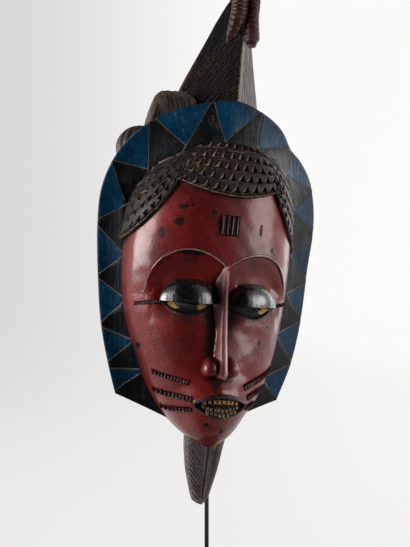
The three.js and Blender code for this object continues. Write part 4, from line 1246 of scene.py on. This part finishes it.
def small_speckles(group, given):
    """Small round losses and specks."""
    place = {"Vector": given["Vector"], "Scale": given["Scale"]}
    cells = node(group, "ShaderNodeTexVoronoi", {"feature": "F1"}, Randomness=1.0, **place)
    wobble = maths(group, "SUBTRACT", noise(group, given["Vector"], 700.0, 2, 0.5), 0.5)
    size = maths(group, "MULTIPLY_ADD", wobble, 0.22, cells.outputs["Distance"])
    dot = between(group, size, given["Cover"], maths(group, "SUBTRACT", given["Cover"], 0.06))
    chance = node(group, "ShaderNodeSeparateColor", Color=cells.outputs["Color"]).outputs[0]
    return maths(group, "MULTIPLY", dot, between(group, chance, 0.62, 0.66))


def wood_grain(group, given):
    """Close wood grain that runs up the carving, with pores."""
    place = drawn_out(group, given, (0.0, GRAIN_LEAN, 0.0), 0.06)
    streaks = noise(group, place, given["Fineness"], 6, 0.66, 0.25)
    rings = noise(group, place, maths(group, "MULTIPLY", given["Fineness"], 0.16), 2, 0.5, 0.6)
    both = maths(group, "MULTIPLY_ADD", rings, 0.4, maths(group, "MULTIPLY", streaks, 0.6))
    return between(group, both, 0.32, 0.68)


# The shared effects: name, inputs with their values, output, and what works it out
EFFECTS = [
    ("broken colour", {"Scale": 30.0, "Contrast": 0.2}, "Value", broken_colour),
    ("worn edges", {"Reach": 0.06, "Break Up": 0.5}, "Mask", worn_edges),
    ("dust in cuts", {"Amount": 0.5}, "Mask", dust_in_cuts),
    ("scratches", {"Scale": 200.0, "Cover": 0.1}, "Mask", fine_scratches),
    ("speckles", {"Scale": 300.0, "Cover": 0.2}, "Mask", small_speckles),
    ("wood grain", {"Fineness": 260.0}, "Value", wood_grain),
]


def make_effect(name, inputs, output, surface):
    """A node group with named inputs and one output that changes over the surface."""
    group = bpy.data.node_groups.new(name, "ShaderNodeTree")
    group.interface.new_socket("Vector", in_out="INPUT", socket_type="NodeSocketVector")
    for socket_name, value in inputs.items():
        socket = group.interface.new_socket(socket_name, in_out="INPUT", socket_type="NodeSocketFloat")
        socket.default_value = value
    group.interface.new_socket(output, in_out="OUTPUT", socket_type="NodeSocketFloat")
    given, end = group.nodes.new("NodeGroupInput").outputs, group.nodes.new("NodeGroupOutput").inputs
    group.links.new(surface(group, given), end[0])


def effect(tree, name, vector, **values):
    """Places one of the shared effects in a material with its own values."""
    made = node(tree, "ShaderNodeGroup", {"node_tree": bpy.data.node_groups[name]}, Vector=vector, **values)
    return made.outputs[0]


def finish_start(name, specular=0.5):
    """A new material: its tree, its shader's inputs and the place on the piece in metres."""
    material = bpy.data.materials.new(name)
    material.use_nodes = True
    tree = material.node_tree
    shader = tree.nodes["Principled BSDF"].inputs
    shader["Specular IOR Level"].default_value = specular
    return material, tree, shader, tree.nodes.new("ShaderNodeTexCoord").outputs["Object"]


def raise_surface(tree, shader, height, distance):
    """Bump in metres from a height of 0..1."""
    bump = node(tree, "ShaderNodeBump", Strength=1.0, Distance=distance, Height=height)
    tree.links.new(bump.outputs[0], shader["Normal"])


def marked(tree, name):
    """A mask painted on the carving's points."""
    return node(tree, "ShaderNodeAttribute", {"attribute_name": name}).outputs["Fac"]


def broken(tree, place, mark, scale, spread, low, high):
    """A painted mask with its edge broken up by noise."""
    mask = marked(tree, mark)
    ragged = maths(tree, "SUBTRACT", noise(tree, place, scale, 5, 0.7), 0.5)
    return between(tree, maths(tree, "MULTIPLY_ADD", ragged, spread, mask), low, high)


def red_paint():
    """Old red paint under wax: sooty and painted shade round the features, a painted highlight down the
    nose's ridge, scratched, and gone in places.
    """
    material, tree, shader, place = finish_start("red paint", 0.24)
    shader["Coat Roughness"].default_value = 0.2
    shader["Specular Tint"].default_value = (1.0, 0.42, 0.4, 1.0)
    patches = effect(tree, "broken colour", place, Scale=34.0, Contrast=0.16)
    colour = mixed(tree, patches, srgb(68, 8, 11), srgb(112, 19, 20))
    grime = noise(tree, place, 120.0, 6, 0.7)
    # Near black for the sooty places and for the painted shadow and shade under and beside the nose, in the
    # left socket and on the cheeks
    soot = broken(tree, place, "soot", 120.0, 0.6, 0.12, 0.95)
    colour = mixed(tree, soot, colour, srgb(9, 6, 8))
    specks = effect(tree, "speckles", place, Scale=190.0, Cover=0.2)
    colour = over(tree, colour, specks, 0.75, (30, 12, 14))
    scratches = effect(tree, "scratches", place, Scale=210.0, Cover=0.16)
    colour = over(tree, colour, scratches, 0.3, (140, 84, 76))
    edges = effect(tree, "worn edges", place, Reach=0.08, Break_Up=0.7)
    colour = over(tree, colour, edges, 0.45, (112, 84, 82))
    # Pale for the worn edge of the brows, and as a painted highlight on the strip down the nose's ridge
    rubbed = broken(tree, place, "rubbed", 420.0, 0.7, 0.35, 0.6)
    colour = over(tree, colour, rubbed, 0.85, (150, 132, 128))
    lost = broken(tree, place, "lost", 210.0, 1.2, 0.4, 0.6)
    colour = mixed(tree, lost, colour, mixed(tree, grime, srgb(3, 5, 7), srgb(16, 15, 18)))
    # Near black along the scars and the brows, and as a painted shadow line beside the nose's ridge
    scored_and_shadow = broken(tree, place, "scored_and_shadow", 300.0, 0.6, 0.35, 0.6)
    colour = mixed(tree, scored_and_shadow, colour, srgb(9, 7, 9))
    tree.links.new(colour, shader["Base Color"])
    rough = between(tree, noise(tree, place, 85.0, 5, 0.65), 0.3, 0.7, 0.3, 0.42)
    rough = maths(tree, "MULTIPLY_ADD", lost, -0.06, maths(tree, "MULTIPLY_ADD", soot, 0.2, rough))
    tree.links.new(rough, shader["Roughness"])
    bare_of_wax = maths(tree, "MAXIMUM", maths(tree, "MAXIMUM", soot, lost), scored_and_shadow)
    tree.links.new(maths(tree, "MULTIPLY_ADD", bare_of_wax, -WAX, WAX), shader["Coat Weight"])
    waves = maths(tree, "MULTIPLY", noise(tree, place, 60.0, 3, 0.5), 0.4)
    skin = maths(tree, "MULTIPLY_ADD", noise(tree, place, 560.0, 5, 0.7), 0.95, waves)
    skin = maths(tree, "MULTIPLY_ADD", lost, -0.12, skin)
    raise_surface(tree, shader, skin, 0.0006)
    return material


def aged_dark(name, tones, specular, roughness, grain, wear, dust, speck=0.0, bump=0.0005, bare=None):
    """Dark stain or paint over wood: uneven, rubbed at the edges, dusty in the cuts, with some grain."""
    dark, light, worn, dusty = tones
    material, tree, shader, place = finish_start(name, specular)
    patches = effect(tree, "broken colour", place, Scale=46.0, Contrast=0.2)
    colour = mixed(tree, patches, srgb(*dark), srgb(*light))
    lines = effect(tree, "wood grain", place, Fineness=330.0)
    colour = mixed(tree, maths(tree, "MULTIPLY", lines, grain), colour, paler(light, 1.6, 6))
    film = effect(tree, "dust in cuts", place, Amount=dust)
    colour = mixed(tree, film, colour, srgb(*dusty))
    edges = effect(tree, "worn edges", place, Reach=0.09, Break_Up=0.8)
    colour = over(tree, colour, edges, wear, worn)
    if speck:
        specks = effect(tree, "speckles", place, Scale=260.0, Cover=0.24)
        colour = over(tree, colour, specks, speck, worn)
    scratches = effect(tree, "scratches", place, Scale=240.0, Cover=0.2)
    colour = over(tree, colour, scratches, 0.4, worn)
    if bare:
        shows = broken(tree, place, "bare", 620.0, 1.2, 0.42, 0.6)
        colour = mixed(tree, shows, colour, mixed(tree, lines, srgb(*bare), paler(bare, 1.45)))
    tree.links.new(colour, shader["Base Color"])
    rough = between(tree, noise(tree, place, 110.0, 5, 0.7), 0.3, 0.7, roughness - 0.1, roughness + 0.12)
    tree.links.new(maths(tree, "MULTIPLY_ADD", film, 0.25, rough), shader["Roughness"])
    pores = maths(tree, "MULTIPLY", noise(tree, place, 480.0, 5, 0.65), 0.5)
    height = maths(tree, "MULTIPLY_ADD", lines, 0.45, pores)
    raise_surface(tree, shader, maths(tree, "MULTIPLY_ADD", scratches, -0.4, height), bump)
    return material


def black_steel():
    """Dark blackened steel with a dull shine."""
    material, tree, shader, place = finish_start("black steel")
    shader["Metallic"].default_value = 0.9
    patches = effect(tree, "broken colour", place, Scale=60.0, Contrast=0.22)
    colour = mixed(tree, patches, srgb(38, 40, 44), srgb(66, 68, 72))
    scratches = effect(tree, "scratches", place, Scale=300.0, Cover=0.3)
    colour = over(tree, colour, scratches, 0.5, (130, 130, 132))
    tree.links.new(colour, shader["Base Color"])
    rough = between(tree, noise(tree, place, 240.0, 4, 0.6), 0.3, 0.7, 0.32, 0.55)
    tree.links.new(rough, shader["Roughness"])
    raise_surface(tree, shader, noise(tree, place, 700.0, 4, 0.6), 0.0001)
    return material


def lit_paper(name, colour, left_glow, right_glow):
    """Pale paper that glows for the camera, and in the paint's shine except from the dark room in front."""
    material, tree, shader, place = finish_start(name, 0.0)
    soft = noise(tree, place, 1.5, 2, 0.5)
    tree.links.new(mixed(tree, soft, srgb(*colour), paler(colour, 1, 4)), shader["Base Color"])
    shader["Roughness"].default_value = 0.9
    spot = node(tree, "ShaderNodeSeparateXYZ", Vector=place)
    across, back = spot.outputs["X"], spot.outputs["Y"]
    glow = between(tree, across, -0.9, 1.3, left_glow, right_glow)
    glow = maths(tree, "ADD", glow, between(tree, back, -0.4, 1.3, -0.07, 0.0))
    past_right = maths(tree, "MULTIPLY_ADD", across, 0.94, maths(tree, "MULTIPLY", back, 0.34))
    past_left = maths(tree, "MULTIPLY_ADD", across, -0.5, maths(tree, "MULTIPLY", back, 0.87))
    lit = between(tree, maths(tree, "MAXIMUM", past_right, past_left), -0.02, 0.1, 0.0, 1.0)
    ray = tree.nodes.new("ShaderNodeLightPath").outputs
    reach = node(tree, "ShaderNodeVectorMath", {"operation": "LENGTH"}, Vector=place).outputs["Value"]
    near = between(tree, reach, 0.11, 0.16, 1.0, 0.0)
    lit = maths(tree, "MULTIPLY", maths(tree, "MAXIMUM", lit, near), 0.9)
    mirrored = maths(tree, "MULTIPLY", ray["Is Glossy Ray"], lit)
    seen = maths(tree, "MAXIMUM", ray["Is Camera Ray"], mirrored)
    shader["Emission Color"].default_value = (1.0, 0.993, 0.985, 1.0)
    tree.links.new(maths(tree, "MULTIPLY", glow, seen), shader["Emission Strength"])
    return material


# Stains and paints over wood: name, dark, light, rubbed and dusty tone, then shine, roughness and how much
# grain, wear and dust show; some also have specks, a bump of their own or a tone where the wood is bare
STAINS = {
    "hair_dark": ("stained hair", ((11, 10, 11), (32, 28, 27), (150, 122, 92), (80, 72, 68)),
                  0.17, 0.42, 0.2, 0.85, 0.25, {"bare": (122, 98, 74)}),
    # Near black: painted shade on the walls of the hair's chips
    "hair_pit_shade": ("cut of a chip", ((4, 4, 5), (14, 11, 10), (60, 46, 36), (40, 34, 30)),
                 0.1, 0.6, 0.1, 0.2, 0.1, {}),
    "crest_line": ("pale cut line", ((36, 32, 32), (82, 71, 63), (140, 120, 100), (70, 60, 54)),
                   0.2, 0.6, 0.3, 0.5, 0.3, {}),
    "hair_worn": ("rubbed hair facet", ((52, 43, 38), (110, 92, 78), (180, 152, 120), (50, 44, 42)),
                  0.3, 0.5, 0.4, 0.6, 0.2, {}),
    "collar_blue": ("blue paint", ((0, 16, 30), (2, 60, 92), (52, 96, 112), (30, 66, 84)),
                    0.13, 0.38, 0.05, 0.3, 0.06, {}),
    "collar_black": ("black paint", ((6, 8, 12), (15, 16, 20), (76, 72, 74), (64, 64, 68)),
                     0.14, 0.38, 0.08, 0.35, 0.12, {}),
    "incised_pale": ("scratched line", ((62, 54, 52), (92, 80, 76), (130, 114, 106), (150, 140, 132)),
                     0.5, 0.6, 0.3, 0.4, 0.3, {}),
    "collar_rim": ("worn rim", ((20, 17, 19), (50, 40, 36), (120, 96, 78), (150, 140, 132)),
                   0.5, 0.5, 0.3, 0.7, 0.3, {}),
    "lid_black": ("black enamel", ((5, 6, 8), (12, 13, 15), (110, 102, 92), (150, 140, 132)),
                  0.8, 0.2, 0.04, 0.4, 0.1, {"speck": 0.2, "bump": 0.0003, "bare": (140, 126, 106)}),
    "teeth": ("stained teeth", ((92, 60, 30), (164, 114, 58), (180, 140, 84), (22, 18, 18)),
              0.5, 0.45, 0.4, 0.5, 0.8, {}),
    "teeth_grey": ("sooty teeth", ((74, 66, 56), (128, 114, 92), (170, 154, 126), (20, 18, 18)),
                   0.5, 0.45, 0.4, 0.6, 0.8, {}),
    "mouth_black": ("mouth black", ((9, 9, 11), (26, 23, 25), (70, 62, 60), (54, 50, 50)),
                    0.18, 0.42, 0.12, 0.25, 0.2, {"bare": (150, 116, 66)}),
    # On the crest's left face this near black is partly painted shade, and on its right face the grey stain
    # below is partly painted light
    "crest_dark": ("crest stain", ((4, 4, 7), (12, 10, 12), (116, 98, 82), (64, 54, 50)),
                   0.03, 0.6, 0.1, 0.6, 0.1, {"speck": 0.16, "bare": (104, 82, 62)}),
    "crest_grey": ("dusty crest stain", ((26, 22, 22), (58, 50, 47), (134, 118, 104), (96, 88, 84)),
                   0.3, 0.5, 0.4, 0.7, 0.5, {}),
    "plait_brown": ("plait stain", ((24, 10, 10), (56, 28, 27), (136, 96, 86), (92, 70, 66)),
                    0.2, 0.42, 0.2, 0.7, 0.2, {}),
    "beard_dark": ("beard stain", ((36, 31, 33), (76, 67, 68), (150, 124, 98), (110, 98, 96)),
                   0.3, 0.46, 0.3, 0.8, 0.45, {"bare": (132, 92, 52)}),
    "hollow_wood": ("hollow wood", ((54, 38, 28), (98, 72, 50), (140, 108, 76), (60, 50, 42)),
                    0.5, 0.68, 0.6, 0.3, 0.4, {}),
    "scar_black": ("scar black", ((5, 5, 6), (13, 10, 11), (60, 44, 42), (40, 32, 32)),
                   0.5, 0.4, 0.08, 0.2, 0.2, {}),
    "scar_bar": ("rubbed scar", ((22, 13, 14), (58, 30, 28), (150, 128, 116), (40, 32, 32)),
                 0.5, 0.42, 0.2, 0.95, 0.2, {}),
    "scar_bead": ("scar bead", ((48, 25, 27), (102, 68, 70), (190, 160, 156), (40, 32, 32)),
                  0.5, 0.36, 0.1, 0.8, 0.1, {}),
}
finishes_made = {}


def carving_materials():
    """The materials of the carving's slots, made on the first call."""
    if not finishes_made:
        for row in EFFECTS:
            make_effect(*row)
        finishes_made["red_paint"] = red_paint()
        for finish, (*values, extras) in STAINS.items():
            finishes_made[finish] = aged_dark(*values, **extras)
    return [finishes_made[finish] for finish in FINISHES]


def distance_to_line(x, z, start, end):
    """How far a place on the front is from a straight line between two others."""
    run, rise = end[0] - start[0], end[1] - start[1]
    t = np.clip(((x - start[0]) * run + (z - start[1]) * rise) / (run * run + rise * rise), 0, 1)
    return np.hypot(x - start[0] - t * run, z - start[1] - t * rise)


def soot_and_shade_mark(x, z):
    """Soot gathered round the features with painted shadow and shade in some patches, and darkening at the
    rim of the face and under the hair.
    """
    soot = 0
    for middle_x, middle_z, half_x, half_z, strength, both_sides in SOOT_AND_SHADE_PATCHES:
        aside = (np.abs(x) if both_sides else x) - middle_x
        soot = soot + strength * np.exp(-(aside / half_x) ** 2 - ((z - middle_z) / half_z) ** 2)
    edge = smoothstep(0.93, 1.0, np.abs(x) / half_width(x, z))
    return soot + 0.6 * edge + 0.35 * bell(z - hairline_height(x) + 1, 3.0)


def lost_mark(x, z):
    """Places where the red has gone."""
    lost = np.zeros(len(x))
    for middle_x, middle_z, half_x, half_z in PAINT_LOSSES:
        away = ((x - middle_x) / half_x) ** 2 + ((z - middle_z) / half_z) ** 2
        lost = np.maximum(lost, np.exp(-away * 0.7))
    return lost


def scored_and_shadow_mark(x, z, front):
    """Dark ground along each row of scars, dark lines under the brows, and a painted shadow line beside the
    nose's ridge.
    """
    u = np.abs(x)
    brow_line = 0.7 * bell(brow_height(x) - z + 1.7, 0.6) * (u < 56) * (u > 5)
    # The line beside the nose's ridge is a painted shadow
    nose_shadow_line = 0.8 * bell(x + 0.9, 0.6) * smoothstep(2, -4, z) * smoothstep(-79, -74, z)
    scored_and_shadow = np.maximum(brow_line, nose_shadow_line) * front
    for start, end, _ in SCAR_ROWS:
        scored_and_shadow = np.maximum(scored_and_shadow, 0.62 * bell(distance_to_line(x, z, start, end), 1.5))
    return scored_and_shadow


def rubbed_and_highlight_mark(x, z):
    """The edge of the brows, where hands have rubbed the red pale, and the narrow strip down the nose, pale
    both as worn paint and as a painted highlight.
    """
    brow_line = 0.95 * bell(brow_height(x) - z + 0.4, 0.5) * (np.abs(x) < 57)
    # The strip down the nose is partly a painted highlight
    half_strip = 0.45 + 1.05 * smoothstep(-8, -42, z)
    strip = np.exp(-((x - half_strip) / half_strip) ** 4)
    return np.maximum(brow_line, 0.62 * strip * smoothstep(5, 0, z) * smoothstep(-78, -74, z))


def bare_mark(x, y, z, front):
    """Where the dark stains are worn: lids, borders of the rows of hair, the crest's ridge, the beard."""
    across, _, lens = eye_place(x, z)
    below = EYE_Z - z
    left_lens = bell(np.abs(across + 0.05) - 0.52, 0.24)
    beside = np.where(x < 0, left_lens, bell(across - 0.5, 0.3))
    bare = 0.9 * beside * smoothstep(0.3, 1.3, below) * smoothstep(-0.4, -2.4, below - lens)
    band = (z - hairline_height(x)) / (crown_height(x) - hairline_height(x))
    borders = [0.62 * bell(band - row_start(row) - 0.014, 0.007) for row in range(CHIP_ROWS)]
    lid_edge = 0.6 * bell(below + 0.5, 0.45) * (np.abs(across) < 1)
    ridge = 0.7 * bell(x, 0.9) * (z > 110) * (z < 204)
    for mark in [lid_edge, 0.6 * bell(band - 0.022, 0.014), ridge] + borders:
        bare = np.maximum(bare, mark * front)
    wear = 0.75 * np.exp(-((x - 7) / 6.0) ** 2 - ((z + 131) / 8) ** 2) + 0.55 * bell(z + 184, 3.5)
    return np.maximum(bare, wear * (z < -122) * (y < -22) * (x > -3))


def paint_marks(mask):
    """Masks on the carving's points, which its paints use where noise alone can't place the wear, the sooty
    places and the painted shade and highlight.
    """
    mesh = mask.data
    points = np.empty(len(mesh.vertices) * 3, np.float32)
    mesh.vertices.foreach_get("co", points)
    x, y, z = to_mask_frame(points.reshape(-1, 3).astype(float))
    front = y < -20
    marks = {
        "soot": soot_and_shade_mark(x, z), "lost": lost_mark(x, z), "scored_and_shadow": scored_and_shadow_mark(x, z, front),
        "rubbed": rubbed_and_highlight_mark(x, z) * front, "bare": bare_mark(x, y, z, front),
    }
    for name, values in marks.items():
        mesh.attributes.new(name, "FLOAT", "POINT").data.foreach_set("value", values.astype(np.float32))


def soften(obj, angle):
    """Smooth shading that keeps the cut edges crisp."""
    obj.data.shade_smooth()
    obj.data.set_sharp_from_angle(angle=math.radians(angle))


def paper_bowl():
    """The pale paper that the mask stands on, which bends up to a wall all round."""
    quarter = [(math.sin(a), 1 - math.cos(a)) for a in np.linspace(0, math.pi / 2, 17)]
    bend = [(BEND_FROM + BEND_RADIUS * out, BEND_RADIUS * up) for out, up in quarter]
    profile = [(reach, 0.0) for reach in BOWL_RINGS] + bend + [(BEND_FROM + BEND_RADIUS, BOWL_TOP)]
    turns = 2 * np.pi * np.arange(BOWL_SIDES) / BOWL_SIDES
    points = [(0, 0, 0)]
    points += [(reach * math.sin(a), reach * math.cos(a), up) for reach, up in profile for a in turns]
    sides = [(1 + i, 1 + (i + 1) % BOWL_SIDES) for i in range(BOWL_SIDES)]
    faces = [(0, a, b) for a, b in sides]
    for start in range(0, (len(profile) - 1) * BOWL_SIDES, BOWL_SIDES):
        faces += [(start + a, start + a + BOWL_SIDES, start + b + BOWL_SIDES, start + b) for a, b in sides]
    mesh = bpy.data.meshes.new("studio bowl")
    mesh.from_pydata(points, [], faces)
    mesh.materials.append(lit_paper("pale paper", (126, 125, 124), 0.68, 0.96))
    mesh.shade_smooth()
    return new_object("studio_bowl", mesh)


def softboxes():
    """The lamps, which the camera can't see."""
    for name, place, target, size, power, spread in SOFTBOXES:
        lamp = bpy.data.lights.new(name, "AREA")
        lamp.shape = "RECTANGLE"
        lamp.size, lamp.size_y = size
        lamp.energy = power
        lamp.spread = math.radians(spread)
        lamp.color = (1.0, 0.985, 0.97)
        holder = new_object(name, lamp)
        holder.location = place
        holder.rotation_euler = (Vector(target) - Vector(place)).to_track_quat("-Z", "Y").to_euler()
        holder.visible_camera = False


def studio_room():
    """A pale room where the camera looks past the paper, and little light from it on the mask."""
    world = bpy.data.worlds.new("studio room")
    world.use_nodes = True
    tree = world.node_tree
    seen = tree.nodes.new("ShaderNodeLightPath").outputs["Is Camera Ray"]
    strength = maths(tree, "MULTIPLY_ADD", seen, ROOM_SEEN, ROOM_LIGHT)
    background = tree.nodes["Background"].inputs
    background["Color"].default_value = (1, 0.99, 0.98, 1)
    tree.links.new(strength, background["Strength"])
    bpy.context.scene.world = world


def photo_camera():
    """The photo's camera: level, and turned round the mask's axis to see it from slightly left."""
    data = bpy.data.cameras.new("photo camera")
    data.sensor_fit = "VERTICAL"
    data.sensor_height = SENSOR
    data.lens = SENSOR * PHOTO_FOCAL / PHOTO_TALL
    data.shift_x = PHOTO_SHIFT / PHOTO_TALL
    data.clip_start = 0.01
    holder = new_object("photo camera", data)
    before = MASK_BEFORE_FOOT * MM - math.cos(CAMERA_TURN) * CAMERA_DISTANCE
    holder.location = (-math.sin(CAMERA_TURN) * CAMERA_DISTANCE, before, MASK_HEIGHT * MM)
    holder.rotation_euler = (math.pi / 2, 0, -CAMERA_TURN)
    bpy.context.scene.camera = holder


def dress_stand():
    """The stand's own solids are shown, in black steel."""
    steel = black_steel()
    for name in ("stand_rod", "stand_foot"):
        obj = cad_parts[name]
        for held in obj.material_slots:
            held.material = steel


def build():
    mask = carve_mask()
    mask.name = "carved_mask"
    paint_marks(mask)
    soften(mask, 38)
    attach(mask, "root")
    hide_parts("mask")
    dress_stand()
    bpy.context.scene.view_settings.view_transform = "Standard"
    sweep = paper_bowl()
    studio_room()
    softboxes()
    photo_camera()


build()
